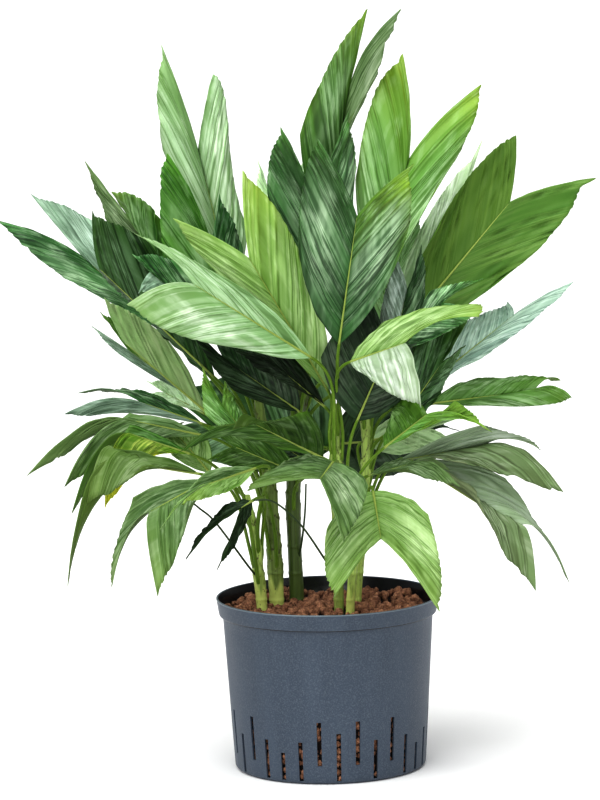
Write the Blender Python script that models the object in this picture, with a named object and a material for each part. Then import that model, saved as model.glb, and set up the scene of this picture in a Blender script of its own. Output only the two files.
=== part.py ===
"""Potted fishtail palm: slotted culture pot, granule bed, canes and forked fronds.

Metres, +Z up, origin at the centre of the pot's flat base, front of the plant towards -Y.
"""
import math

import bmesh
import bpy
import numpy as np
from mathutils import Matrix, Vector
from mathutils.geometry import delaunay_2d_cdt

MM = 0.001
GAP = 0.0003

# Pot
POT_HEIGHT = 0.194
RIM_RADIUS = 0.125
RIM_BAND = 0.0195
BASE_RADIUS = 0.1075
WALL_TOP_RADIUS = 0.118
WALL = 0.0025
FLOOR = 0.003
BAND_FOOT = POT_HEIGHT - RIM_BAND
BAND_FOOT_RADIUS = 0.122
LIP = 0.0024
THROAT_RADIUS = 0.1196
FOOT_ROUND = (0.007, 0.005)
POT_SIDES = 64
SLOT_COUNT = 32
SLOT_WIDTH = 0.0048
HIGH_SLOT = (0.0215, 0.071)
LOW_SLOT = (0.004, 0.048)
LONG_SLOT = (0.004, 0.058)
SHORT_SLOT = (0.004, 0.035)
FACET_TURN = math.radians(1.7)

# Granule bed
FILL_HEIGHT = 0.180
BED_CLEARANCE = 0.0005
BED_SIDES = 32
GRANULE = 0.018
GRANULE_RISE = 0.0035
GRANULE_SCATTER = 0.12

# Places on the plant are read off a photograph, 600 by 800, as (across, down, depth): two pixels,
# then the millimetres behind the pot's axis. This is the eye that saw it, its head a little tilted.
EYE = Vector((-0.0262, -5.0, 1.1105))
AIM = Vector((-0.0262, 0.0, 0.4155))
TILT = math.radians(1.2)
FOCAL = 4523.0
CENTRE = (300.0, 400.0)

# Fronds: thicknesses, veins and rows of a long lobe and of a short one, and the shape of the veins
BLADE = 0.0008
STALK = 0.0040
STALK_HALF_WIDTH = 0.0022
STALK_EDGE = 0.35
STALK_STEPS = 5
STALK_CLIMB = 0.40
STALK_ENTRY = 0.35
STALK_LEAN = 0.15
FINE_GRID = (4, 4)
PLAIN_GRID = (3, 3)
LONG_LOBE = 0.125
TOOTH = 0.0022
TOOTH_PLACE = 0.22
PLEAT = 0.0010
MARGIN_BULGE = 0.05
EDGE_LEAN = -0.40
INNER_LEAN = 0.45

# Canes: radius at the foot and at the top in mm, then the way up.
CANE_SIDES = 8
RING_SWELL = 1.06
CANES = {
    "a": (9.0, 4.5, [(278, 640, 35), (277, 606, 35), (270, 490, 38), (263, 430, 38), (256, 385, 36)]),
    "b": (9.5, 4.5, [(298, 640, 45), (297, 606, 45), (293, 490, 46), (297, 420, 42), (302, 372, 38)]),
    "c": (6.5, 3.5, [(262, 640, 8), (262, 608, 8), (255, 540, 2), (247, 495, -6)]),
    "d": (5.5, 4.0, [(350, 640, -34), (350, 616, -34), (352, 580, -42), (356, 545, -48)]),
    "e": (6.0, 4.0, [(339, 640, -24), (339, 612, -24), (338, 520, -32), (336, 440, -40), (335, 404, -41)]),
    "f": (4.5, 4.0, [(357, 640, 24), (357, 606, 24), (366, 472, 28), (366, 410, 30), (370, 345, 34)]),
    "g": (6.5, 4.0, [(299, 628, 76), (299, 596, 76), (294, 490, 82), (298, 430, 88), (308, 385, 92)]),
}

# Fronds, each named after its cane: height of the joint on the cane in mm, base of the blade and end of
# the midrib, then the tip and the widest place of the left lobe and of the right one, left and right as
# seen on the upper face.
FRONDS = {
    "a1": (405, (232, 290, 60), (198, 150, 100),
           (164, 54, 95), (163, 150, 90), (212, 76, 115), (238, 200, 95)),
    "a2": (385, (225, 330, 25), (212, 245, 30),
           (169, 158, 10), (168, 262, 5), (219, 199, 40), (246, 262, 40)),
    "a3": (360, (172, 300, 55), (134, 224, 72),
           (89, 165, 90), (116, 232, 85), (113, 194, 60), (168, 232, 50)),
    "a4": (345, (215, 378, -15), (99, 268, -60),
           (122, 270, -30), (160, 305, 5), (93, 216, -75), (150, 243, -60)),
    "a5": (330, (165, 332, 30), (82, 256, 50),
           (2, 222, 45), (105, 299, 30), (34, 198, 75), (100, 226, 62)),
    "a6": (300, (190, 395, 50), (128, 350, 70),
           (96, 329, 78), (135, 364, 66), (103, 316, 95), (145, 337, 85)),
    "a7": (280, (206, 412, 24), (125, 343, 12),
           (106, 302, 5), (168, 340, 27), (114, 320, 46), (152, 362, 44)),
    "a8": (262, (205, 414, 60), (165, 393, 72),
           (145, 396, 72), (180, 404, 60), (150, 383, 92), (185, 377, 80)),
    "a9": (243, (203, 424, 6), (140, 402, 2),
           (69, 414, -18), (125, 408, -4), (83, 394, 20), (140, 391, 14)),
    "a10": (235, (205, 436, -8), (125, 419, -30),
            (68, 483, -58), (130, 432, -30), (23, 478, -50), (130, 412, -14)),
    "b1": (425, (325, 245, 40), (348, 92, 60),
           (366, 14, 70), (300, 135, 45), (397, 13, 40), (352, 118, 35)),
    "b2": (410, (322, 295, -10), (315, 205, -10),
           (283, 132, -15), (268, 200, -20), (347, 117, 20), (354, 190, 10)),
    "b3": (395, (240, 345, -28), (150, 272, -72),
           (141, 289, -86), (178, 308, -66), (136, 258, -76), (188, 266, -62)),
    "b4": (370, (300, 412, -15), (225, 360, -45),
           (193, 330, -55), (235, 391, -45), (215, 338, -35), (270, 360, -35)),
    "b5": (345, (255, 448, -15), (222, 405, -25),
           (204, 370, -30), (205, 414, -28), (225, 385, -15), (238, 410, -10)),
    "b6": (320, (318, 468, 0), (270, 440, -5),
           (253, 431, -15), (290, 458, -15), (262, 426, 8), (300, 428, 5)),
    "b7": (300, (298, 474, -20), (235, 447, -70),
           (212, 458, -88), (258, 468, -66), (205, 428, -75), (255, 427, -48)),
    "c1": (300, (210, 473, 10), (172, 428, 8),
           (161, 424, 4), (172, 455, 6), (180, 424, 12), (208, 440, 12)),
    "c2": (290, (190, 454, -48), (128, 433, -72),
           (106, 503, -98), (142, 448, -70), (75, 509, -72), (130, 425, -58)),
    "c3": (240, (200, 474, -78), (120, 462, -118),
           (90, 500, -138), (142, 467, -112), (70, 581, -150), (112, 449, -102)),
    "c4": (224, (208, 480, -100), (150, 512, -150),
           (157, 590, -185), (188, 509, -150), (113, 584, -160), (133, 498, -125)),
    "c5": (260, (256, 468, -120), (208, 484, -180),
           (184, 502, -155), (228, 492, -150), (164, 526, -200), (205, 473, -170)),
    "c6": (250, (252, 501, -80), (241, 508, -95),
           (219, 565, -110), (245, 522, -95), (189, 554, -80), (222, 508, -80)),
    "e1": (400, (339, 345, -95), (357, 216, -125),
           (320, 141, -115), (299, 245, -110), (407, 170, -150), (402, 250, -130)),
    "e2": (372, (328, 391, -50), (249, 258, -92),
           (177, 220, -110), (239, 290, -90), (243, 176, -85), (306, 285, -72)),
    "e3": (358, (312, 358, -90), (193, 284, -150),
           (132, 303, -185), (250, 349, -120), (139, 237, -150), (236, 284, -122)),
    "e4": (362, (350, 362, -104), (405, 343, -155),
           (491, 302, -185), (391, 330, -130), (420, 403, -200), (364, 373, -124)),
    "e5": (328, (317, 398, -40), (270, 360, -62),
           (240, 352, -76), (300, 388, -52), (238, 338, -72), (288, 351, -56)),
    "e6": (296, (357, 421, -60), (388, 350, -80),
           (372, 296, -85), (345, 372, -70), (412, 345, -72), (405, 395, -55)),
    "e7": (312, (318, 458, -120), (255, 424, -175),
           (180, 452, -200), (275, 434, -160), (235, 429, -215), (290, 411, -150)),
    "e8": (290, (333, 462, -130), (320, 479, -205),
           (343, 539, -250), (368, 486, -195), (249, 487, -225), (298, 458, -175)),
    "e9": (280, (368, 474, -60), (427, 414, -80),
           (393, 402, -45), (388, 425, -55), (487, 431, -95), (455, 400, -85)),
    "d1": (262, (373, 491, -100), (381, 539, -160),
           (436, 607, -175), (428, 515, -135), (337, 596, -175), (327, 530, -150)),
    "f1": (440, (375, 285, 10), (409, 159, 40),
           (403, 59, 60), (357, 180, 20), (477, 88, 40), (440, 180, 25)),
    "f2": (425, (400, 335, 8), (510, 202, 40),
           (581, 182, 60), (504, 278, 34), (516, 137, 70), (440, 225, 20)),
    "f3": (410, (398, 310, 55), (455, 218, 85),
           (476, 158, 110), (417, 238, 80), (500, 200, 120), (450, 262, 60)),
    "f4": (395, (390, 366, -32), (407, 290, -75),
           (398, 262, -105), (380, 325, -58), (420, 249, -100), (423, 304, -62)),
    "f5": (380, (402, 348, -18), (440, 303, -22),
           (479, 281, -25), (430, 292, -16), (474, 314, -36), (440, 335, -32)),
    "f6": (365, (428, 385, 40), (485, 330, 60),
           (509, 305, 90), (455, 328, 70), (569, 284, 70), (475, 361, 45)),
    "f7": (350, (398, 425, 5), (442, 362, -5),
           (465, 332, -10), (415, 362, -15), (462, 346, 25), (436, 399, 12)),
    "f8": (330, (430, 404, 25), (500, 394, 45),
           (556, 379, 75), (500, 382, 62), (570, 397, 50), (490, 405, 38)),
    "f9": (310, (364, 442, 40), (430, 428, 55),
           (445, 436, 50), (400, 455, 40), (457, 418, 65), (395, 416, 55)),
    "f10": (295, (396, 462, 20), (475, 447, 30),
            (539, 452, 20), (475, 430, 38), (558, 489, 0), (440, 459, 12)),
    "f11": (280, (412, 461, 38), (515, 527, 15),
            (566, 579, 30), (505, 478, 42), (534, 586, 0), (475, 491, 5)),
    "f12": (265, (368, 476, -15), (415, 463, -22),
            (446, 470, 0), (400, 458, -8), (456, 485, -32), (405, 468, -34)),
    "g1": (420, (300, 300, 108), (275, 215, 112),
           (260, 165, 105), (262, 235, 98), (302, 165, 128), (315, 240, 128)),
    "g2": (405, (385, 330, 95), (400, 240, 108),
           (385, 190, 118), (365, 260, 108), (416, 206, 100), (420, 265, 92)),
    "g3": (385, (255, 330, 130), (200, 270, 185),
           (150, 252, 210), (185, 310, 190), (178, 225, 225), (235, 265, 205)),
    "g4": (370, (400, 360, 130), (455, 295, 180),
           (520, 225, 215), (430, 265, 190), (500, 256, 225), (460, 302, 190)),
    "g5": (345, (262, 440, 125), (208, 425, 180),
           (168, 440, 215), (215, 455, 185), (168, 418, 225), (220, 400, 195)),
    "g6": (325, (375, 440, 125), (420, 438, 180),
           (455, 432, 215), (410, 415, 190), (452, 450, 215), (410, 456, 180)),
}

# Lobes that arch under their own weight, mm of rise halfway out.
ARCH = {"c2": 14, "c3": 30, "c4": 12, "c5": 6, "a10": 10, "a9": 6, "e7": 12, "e8": 12, "d1": 8,
        "f10": 8, "f11": 22, "f8": 8, "f12": 6, "e9": 8, "e4": 8, "e3": 6, "g5": 8, "g6": 8}

# Joints turned round the cane to clear a neighbour's stalk, degrees.
TURN = {"e2": -35, "e5": -40, "f4": -45, "f5": 30, "c6": 105, "c5": 28, "c4": 10, "a10": 75,
        "a9": 35, "e4": 58, "c1": -50, "c2": -20, "c3": -25, "e1": 25, "e3": 8, "e6": 50,
        "e9": 10, "e8": 15, "e7": -10, "a6": -18, "a8": -45, "a7": -8}

COLOURS = {
    "pot": ((0.062, 0.078, 0.098), 0.45),
    "granules": ((0.150, 0.058, 0.030), 0.95),
    "cane": ((0.110, 0.170, 0.045), 0.55),
    "frond": ((0.050, 0.160, 0.030), 0.40),
}


def seen(place):
    """World point of an (across, down, depth) place."""
    across, down, depth = place
    look = (AIM - EYE).normalized()
    right = Vector((1.0, 0.0, 0.0))
    up = right.cross(look)
    off = Vector((across - CENTRE[0], CENTRE[1] - down))
    off.rotate(Matrix.Rotation(-TILT, 2))
    ray = look * FOCAL + right * off.x + up * off.y
    return EYE + ray * ((depth * MM - EYE.y) / ray.y)


def material(name, colour, roughness):
    made = bpy.data.materials.new(name)
    made.use_nodes = True
    shader = made.node_tree.nodes["Principled BSDF"]
    shader.inputs["Base Color"].default_value = (*colour, 1.0)
    shader.inputs["Roughness"].default_value = roughness
    shader.inputs["Metallic"].default_value = 0.0
    return made


def new_object(name, mesh, kind):
    colour, roughness = COLOURS[kind]
    thing = bpy.data.objects.new(name, mesh)
    mesh.materials.append(material(name, colour, roughness))
    bpy.context.scene.collection.objects.link(thing)
    return thing


def mesh_from(name, points, faces):
    mesh = bpy.data.meshes.new(name)
    mesh.from_pydata([tuple(p) for p in points], [], faces)
    mesh.update()
    return mesh


def turned(name, profile, sides):
    """Closed solid turned round Z from (radius, height) points that start and end on the axis."""
    rings = profile[1:-1]
    points = [(0.0, 0.0, profile[0][1])]
    for radius, height in rings:
        for i in range(sides):
            angle = 2 * math.pi * i / sides + FACET_TURN
            points.append((radius * math.cos(angle), radius * math.sin(angle), height))
    points.append((0.0, 0.0, profile[-1][1]))
    faces = []
    for i in range(sides):
        j = (i + 1) % sides
        faces.append((0, 1 + j, 1 + i))
        for k in range(len(rings) - 1):
            low = 1 + k * sides
            faces.append((low + i, low + j, low + sides + j, low + sides + i))
        last = 1 + (len(rings) - 1) * sides
        faces.append((last + i, last + j, len(points) - 1))
    mesh = mesh_from(name, points, faces)
    shape = bmesh.new()
    shape.from_mesh(mesh)
    bmesh.ops.recalc_face_normals(shape, faces=shape.faces)
    shape.to_mesh(mesh)
    shape.free()
    return mesh


def cut(thing, cutter):
    modifier = thing.modifiers.new("cut", "BOOLEAN")
    modifier.operation = "DIFFERENCE"
    modifier.solver = "EXACT"
    modifier.object = cutter


def hidden_cutter(name, mesh):
    cutter = bpy.data.objects.new(name, mesh)
    bpy.context.scene.collection.objects.link(cutter)
    cutter.hide_render = True
    cutter.display_type = "WIRE"
    return cutter


def slot_cutter():
    """Boxes that pass through the pot's wall, low and high by turns, one long and one short in eight."""
    order = (LONG_SLOT, HIGH_SLOT, LOW_SLOT, HIGH_SLOT, LOW_SLOT, SHORT_SLOT, LOW_SLOT, HIGH_SLOT)
    shape = bmesh.new()
    for i in range(SLOT_COUNT):
        low, high = order[i % len(order)]
        angle = 2 * math.pi * (i + 0.25) / SLOT_COUNT - math.pi / 2 + FACET_TURN
        outward = Vector((math.cos(angle), math.sin(angle), 0.0))
        along = Vector((-math.sin(angle), math.cos(angle), 0.0)) * SLOT_WIDTH / 2
        corners = []
        for height in (low, high):
            for reach in (BASE_RADIUS - 0.010, RIM_RADIUS):
                for side in (-1, 1):
                    corners.append(shape.verts.new(outward * reach + along * side + Vector((0, 0, height))))
        for face in ((0, 1, 3, 2), (4, 6, 7, 5), (0, 4, 5, 1), (2, 3, 7, 6), (0, 2, 6, 4), (1, 5, 7, 3)):
            shape.faces.new([corners[k] for k in face])
    bmesh.ops.recalc_face_normals(shape, faces=shape.faces)
    mesh = bpy.data.meshes.new("slots")
    shape.to_mesh(mesh)
    shape.free()
    return hidden_cutter("slots", mesh)


def pot_inside(height):
    """Radius of the pot's inner wall at a height below the rim band."""
    slope = (WALL_TOP_RADIUS - BASE_RADIUS) / BAND_FOOT
    return BASE_RADIUS - WALL + slope * height


def make_pot():
    throat = BAND_FOOT - 2 * MM
    foot_in, foot_up = FOOT_ROUND
    profile = [
        (0.0, 0.0), (BASE_RADIUS - foot_in, 0.0), (BASE_RADIUS, foot_up),
        (WALL_TOP_RADIUS, BAND_FOOT - MM), (BAND_FOOT_RADIUS, BAND_FOOT + MM),
        (RIM_RADIUS, POT_HEIGHT), (RIM_RADIUS - LIP, POT_HEIGHT), (THROAT_RADIUS, BAND_FOOT + 3 * MM),
        (pot_inside(throat), throat), (pot_inside(FLOOR), FLOOR), (0.0, FLOOR),
    ]
    pot = new_object("pot", turned("pot", profile, POT_SIDES), "pot")
    cut(pot, slot_cutter())


def granule_top(rim):
    """Lattice points of the bed's top: a raised point for each granule, sunk ones round it."""
    rng = np.random.default_rng(7)
    points = []
    heights = []
    row_step = GRANULE * math.sqrt(3) / 2
    reach = rim - GRANULE * 0.42
    rows = math.ceil(rim / row_step) + 1
    for row in range(-rows, rows + 1):
        for column in range(-rows, rows + 1):
            x = (column + 0.5 * (row % 2)) * GRANULE
            y = row * row_step
            for dx, dy, rise in ((0, 0, GRANULE_RISE), (0.5, 0.289, -GRANULE_RISE), (0, 0.577, -GRANULE_RISE)):
                px = x + (dx + rng.uniform(-1, 1) * GRANULE_SCATTER) * GRANULE
                py = y + (dy + rng.uniform(-1, 1) * GRANULE_SCATTER) * GRANULE
                wave = 0.003 * math.sin(px * 40 + 1) * math.cos(py * 33)
                height = FILL_HEIGHT + wave + rise * rng.uniform(0.6, 1.1)
                if math.hypot(px, py) < reach:
                    points.append((px, py))
                    heights.append(height)
    return points, heights


def make_bed():
    throat = BAND_FOOT - 2 * MM
    rim, rim_height = THROAT_RADIUS - BED_CLEARANCE, BAND_FOOT + 3 * MM + GAP
    rings = [(pot_inside(height) - BED_CLEARANCE, height) for height in (throat, FLOOR + GAP)]
    top, heights = granule_top(rim)
    turns = [2 * math.pi * i / BED_SIDES + FACET_TURN for i in range(BED_SIDES)]
    flat = [Vector((rim * math.cos(turn), rim * math.sin(turn))) for turn in turns]
    flat += [Vector(p) for p in top]
    edges = [(i, (i + 1) % BED_SIDES) for i in range(BED_SIDES)]
    placed, _, faces, *_ = delaunay_2d_cdt(flat, edges, [], 1, 1e-6)
    points = []
    for i, p in enumerate(placed):
        height = rim_height if i < BED_SIDES else heights[i - BED_SIDES]
        points.append((p.x, p.y, height))
    faces = [tuple(f) for f in faces]
    below = list(range(BED_SIDES))
    for radius, height in rings:
        start = len(points)
        points += [(radius * math.cos(turn), radius * math.sin(turn), height) for turn in turns]
        for i in range(BED_SIDES):
            j = (i + 1) % BED_SIDES
            faces.append((below[i], start + i, start + j, below[j]))
        below = list(range(start, start + BED_SIDES))
    faces.append(tuple(reversed(below)))
    mesh = mesh_from("granules", points, faces)
    shape = bmesh.new()
    shape.from_mesh(mesh)
    bmesh.ops.triangulate(shape, faces=shape.faces)
    bmesh.ops.recalc_face_normals(shape, faces=shape.faces)
    shape.to_mesh(mesh)
    shape.free()
    return new_object("granules", mesh, "granules")


def smooth_way(points, steps):
    """Catmull-Rom curve through the points, steps pieces between each two."""
    ends = [points[0] * 2 - points[1]] + points + [points[-1] * 2 - points[-2]]
    way = []
    for i in range(len(points) - 1):
        p0, p1, p2, p3 = ends[i:i + 4]
        for k in range(steps):
            t = k / steps
            way.append(0.5 * (2 * p1 + (p2 - p0) * t + (2 * p0 - 5 * p1 + 4 * p2 - p3) * t * t
                              + (3 * p1 - p0 - 3 * p2 + p3) * t ** 3))
    way.append(points[-1])
    return way


def cane_way(letter):
    foot, top, places = CANES[letter]
    way = smooth_way([seen(p) for p in places], 2)
    radii = []
    for i in range(len(way)):
        share = i / (len(way) - 1)
        swell = 1.0 if i % 2 else RING_SWELL
        radii.append((foot + (top - foot) * share) * swell * MM)
    return way, radii


def tube(name, way, radii, extra=0.0):
    """Tube with flat ends along a way that climbs."""
    sides = CANE_SIDES
    points = []
    for centre, radius in zip(way, radii):
        for i in range(sides):
            angle = 2 * math.pi * i / sides
            points.append((centre.x + (radius + extra) * math.cos(angle),
                           centre.y + (radius + extra) * math.sin(angle), centre.z))
    faces = [tuple(reversed(range(sides)))]
    for k in range(len(way) - 1):
        for i in range(sides):
            j = (i + 1) % sides
            faces.append((k * sides + i, k * sides + j, (k + 1) * sides + j, (k + 1) * sides + i))
    faces.append(tuple(range((len(way) - 1) * sides, len(way) * sides)))
    return mesh_from(name, points, faces)


def make_canes(bed):
    for letter in CANES:
        way, radii = cane_way(letter)
        new_object("cane_" + letter, tube("cane_" + letter, way, radii), "cane")
        sunk = [way[0] - Vector((0, 0, GAP))] + way[1:]
        cut(bed, hidden_cutter("hole_" + letter, tube("hole_" + letter, sunk, radii, 1.5 * GAP)))


def at_height(letter, height):
    """Centre, radius and direction of a cane at a height."""
    way, radii = cane_way(letter)
    for low, high, thick, thin in zip(way, way[1:], radii, radii[1:]):
        if high.z >= height:
            share = (height - low.z) / (high.z - low.z)
            return low.lerp(high, share), thick + (thin - thick) * share, (high - low).normalized()
    return way[-1], radii[-1], (way[-1] - way[-2]).normalized()


def side_radius(radius, away):
    """How far a cane's flat-sided skin stands from its middle, towards away."""
    facet = 2 * math.pi / CANE_SIDES
    off = math.atan2(away.y, away.x) % facet - facet / 2
    return radius * math.cos(facet / 2) / math.cos(off)


def bezier(points, t):
    """Bezier curve of any degree at t, by repeated mixing."""
    while len(points) > 1:
        points = [a.lerp(b, t) for a, b in zip(points, points[1:])]
    return points[0]


def grid_size(name):
    """Veins and rows of a lobe: fewer on the short fronds."""
    base, *_, tip, _ = [seen(p) for p in FRONDS[name][1:]]
    return FINE_GRID if (tip - base).length > LONG_LOBE else PLAIN_GRID


def half_blade(name, base, split, tip, corner):
    """Grid of one lobe: veins from the midrib to the margin, rows along them, and the tooth notches."""
    columns, rows = grid_size(name)
    midrib = split - base
    middle = corner.lerp(tip, 0.5)
    chord = (tip - corner).normalized()
    outward = middle - split
    outward = (outward - chord * outward.dot(chord)).normalized()
    bulge = middle + outward * (tip - corner).length * MARGIN_BULGE * 2
    face = midrib.cross(corner - base).normalized()
    arch = ARCH.get(name, 0) * MM
    grid = []
    for column in range(columns + 1):
        share = column / columns
        start = base + midrib * share
        end = bezier([corner, bulge, tip], share)
        reach = end - start
        lean = EDGE_LEAN + (INNER_LEAN - EDGE_LEAN) * share
        ahead = (reach.normalized() + midrib.normalized() * lean).normalized()
        bend = start + ahead * reach.length * 0.5
        pleat = face * (PLEAT if column % 2 else -PLEAT)
        if column in (0, columns):
            pleat = face * 0.0
        vein = []
        for row in range(1, rows + 1):
            t = row / rows
            rise = Vector((0, 0, arch * 4 * t * (1 - t) * share))
            vein.append(bezier([start, bend, end], t) + pleat * min(t * 2, 1.0) + rise)
        grid.append(vein)
    notches = []
    for column in range(columns):
        low, high = grid[column][-1], grid[column + 1][-1]
        inward = (grid[column][-2] - low).normalized()
        notches.append(low.lerp(high, TOOTH_PLACE) + inward * TOOTH)
    return grid, notches


def stalk_way(name, base, midrib):
    """Leaf stalk: off the cane's side, up along it, then out to the blade's base."""
    centre, radius, climb = at_height(name[0], FRONDS[name][0] * MM)
    away = base - centre
    away.z = 0.0
    away.normalize()
    away.rotate(Matrix.Rotation(math.radians(TURN.get(name, 0)), 3, "Z"))
    root = centre + away * (side_radius(radius, away) + STALK / 2 + GAP)
    reach = (base - root).length
    first = root + (climb + away * STALK_LEAN).normalized() * reach * STALK_CLIMB
    second = base - midrib.normalized() * reach * STALK_ENTRY
    side = Vector((-away.y, away.x, 0.0))
    return [root, first, second, base], side


def lobe_faces(rib, first, notch, edge, columns, rows):
    """Triangles of one lobe, whose points run vein by vein from first, and its notches from notch."""
    def index(column, row):
        return rib[column] if row == 0 else first + column * rows + row - 1

    faces = [(edge, rib[0], index(0, 1))]
    for column in range(columns):
        for row in range(rows):
            a, b = index(column, row), index(column + 1, row)
            c, d = index(column + 1, row + 1), index(column, row + 1)
            if row < rows - 1:
                faces += [(a, b, c), (a, c, d)]
            else:
                tooth = notch + column
                faces += [(a, b, tooth), (b, c, tooth), (a, tooth, d)]
    return faces


def frond_mesh(name):
    """Mid-surface of a frond: stalk strip, midrib, two lobes; weights say how thick each point is."""
    columns, rows = grid_size(name)
    base, split, tip_left, corner_left, tip_right, corner_right = [seen(p) for p in FRONDS[name][1:]]
    midrib = split - base
    forward = midrib.normalized()
    across = corner_right - corner_left
    across = (across - forward * across.dot(forward)).normalized()
    way, side = stalk_way(name, base, midrib)
    if side.dot(across) < 0:
        side.negate()
    points = []
    weights = []
    faces = []
    for step in range(STALK_STEPS + 1):
        t = step / STALK_STEPS
        centre = bezier(way, t)
        ahead = (bezier(way, min(t + 0.02, 1.0)) - bezier(way, max(t - 0.02, 0.0))).normalized()
        wide = side.lerp(across, t)
        wide = (wide - ahead * wide.dot(ahead)).normalized() * STALK_HALF_WIDTH * (1.25 - 0.5 * t)
        points += [centre - wide, centre, centre + wide]
        weights += [STALK_EDGE, 1.0 - 0.3 * t, STALK_EDGE]
    for step in range(STALK_STEPS):
        for k in (3 * step, 3 * step + 1):
            faces += [(k, k + 1, k + 4), (k, k + 4, k + 3)]
    left_edge, middle, right_edge = range(3 * STALK_STEPS, 3 * STALK_STEPS + 3)
    rib = [middle]
    for column in range(1, columns + 1):
        share = column / columns
        rib.append(len(points))
        points.append(base + midrib * share)
        weights.append(0.70 - 0.35 * share)
    for tip, corner, edge, flip in ((tip_left, corner_left, left_edge, False),
                                    (tip_right, corner_right, right_edge, True)):
        grid, notches = half_blade(name, base, split, tip, corner)
        first = len(points)
        for vein in grid:
            points += vein
        notch = len(points)
        points += notches
        weights += [BLADE / STALK] * (len(points) - first)
        lobe = lobe_faces(rib, first, notch, edge, columns, rows)
        faces += [tuple(reversed(f)) for f in lobe] if flip else lobe
    return points, faces, weights


def make_frond(name):
    points, faces, weights = frond_mesh(name)
    mesh = mesh_from("frond_" + name, points, faces)
    frond = new_object("frond_" + name, mesh, "frond")
    group = frond.vertex_groups.new(name="thickness")
    for i, weight in enumerate(weights):
        group.add([i], weight, "REPLACE")
    solid = frond.modifiers.new("thickness", "SOLIDIFY")
    solid.thickness = STALK
    solid.offset = 0.0
    solid.vertex_group = group.name
    solid.thickness_vertex_group = 0.0


for old in list(bpy.data.objects):
    bpy.data.objects.remove(old)
make_pot()
bed = make_bed()
make_canes(bed)
for frond in FRONDS:
    make_frond(frond)
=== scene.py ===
"""Potted fishtail palm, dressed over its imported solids.

Metres, +Z up, origin at the centre of the pot's flat base, front of the plant towards -Y.
"""

import math

import bpy
import numpy as np
from mathutils import Matrix, Vector


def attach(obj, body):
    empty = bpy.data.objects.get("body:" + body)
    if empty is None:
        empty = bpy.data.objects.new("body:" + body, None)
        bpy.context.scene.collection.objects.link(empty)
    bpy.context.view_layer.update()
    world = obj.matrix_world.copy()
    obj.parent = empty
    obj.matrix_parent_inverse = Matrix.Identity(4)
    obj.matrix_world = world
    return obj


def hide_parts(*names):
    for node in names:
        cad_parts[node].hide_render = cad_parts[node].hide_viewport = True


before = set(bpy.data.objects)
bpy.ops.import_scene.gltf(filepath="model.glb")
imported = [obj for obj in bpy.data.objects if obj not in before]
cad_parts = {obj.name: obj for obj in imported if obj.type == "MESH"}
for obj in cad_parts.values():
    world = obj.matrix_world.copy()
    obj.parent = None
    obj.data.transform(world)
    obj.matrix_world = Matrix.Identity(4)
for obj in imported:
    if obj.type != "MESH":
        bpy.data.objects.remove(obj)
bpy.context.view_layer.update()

# Camera
# The photograph was taken from far in front, a little above the plant and with the camera slightly
# rolled. Places on the plant are read off it as (across, down, depth): two of its 600 by 800 pixels and
# the millimetres behind the pot's axis.
EYE = np.array([-0.0262, -5.0, 1.1105])
AIM = np.array([-0.0262, 0.0, 0.4155])
ROLL = math.radians(1.2)
FOCAL_PIXELS = 4523.0
PICTURE = (600, 800)
MM = 0.001


def unit(vectors):
    """Each vector divided by its own length."""
    return vectors / np.linalg.norm(vectors, axis=-1, keepdims=True)


def place(spots):
    """World points of (across, down, depth) places: the sight line of the pixel, followed to the depth."""
    spots = np.asarray(spots, float)
    look = unit(AIM - EYE)
    right = np.array([1.0, 0.0, 0.0])
    up = np.cross(right, look)
    across = spots[..., 0] - PICTURE[0] / 2
    rise = PICTURE[1] / 2 - spots[..., 1]
    level_across = across * math.cos(ROLL) + rise * math.sin(ROLL)
    level_rise = rise * math.cos(ROLL) - across * math.sin(ROLL)
    ray = look * FOCAL_PIXELS + right * level_across[..., None] + up * level_rise[..., None]
    reach = (spots[..., 2] * MM - EYE[1]) / ray[..., 1]
    return EYE + ray * reach[..., None]


camera = bpy.data.objects.new("camera", bpy.data.cameras.new("camera"))
camera.data.sensor_width = 36.0
camera.data.lens = FOCAL_PIXELS * camera.data.sensor_width / PICTURE[1]
camera.location = EYE
aimed = Vector(AIM - EYE).to_track_quat("-Z", "Y").to_matrix() @ Matrix.Rotation(-ROLL, 3, "Z")
camera.rotation_euler = aimed.to_euler()
bpy.context.scene.collection.objects.link(camera)
bpy.context.scene.camera = camera

# Studio
# A pale floor that runs out of sight, a white surround, a broad main light from high at the left and two
# large soft lamps, one at the right and one overhead.
FLOOR_REACH = 60.0
PLANT_MIDDLE = (0.0, 0.0, 0.45)
MAIN_LIGHT_WAY = (0.42, 0.92, -1.2)
WHITE = (1.0, 1.0, 1.0, 1.0)


def plain_material(name, colour, roughness):
    """A Principled material of one colour."""
    material = bpy.data.materials.new(name)
    material.use_nodes = True
    shader = material.node_tree.nodes["Principled BSDF"]
    shader.inputs["Base Color"].default_value = (*colour, 1.0)
    shader.inputs["Roughness"].default_value = roughness
    return material


def soft_lamp(name, place_at, towards, size, power):
    """Square area lamp at a point, turned towards another."""
    lamp = bpy.data.lights.new(name, "AREA")
    lamp.shape = "SQUARE"
    lamp.size = size
    lamp.energy = power
    thing = bpy.data.objects.new(name, lamp)
    thing.location = place_at
    thing.rotation_euler = (Vector(towards) - Vector(place_at)).to_track_quat("-Z", "Y").to_euler()
    bpy.context.scene.collection.objects.link(thing)


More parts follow.
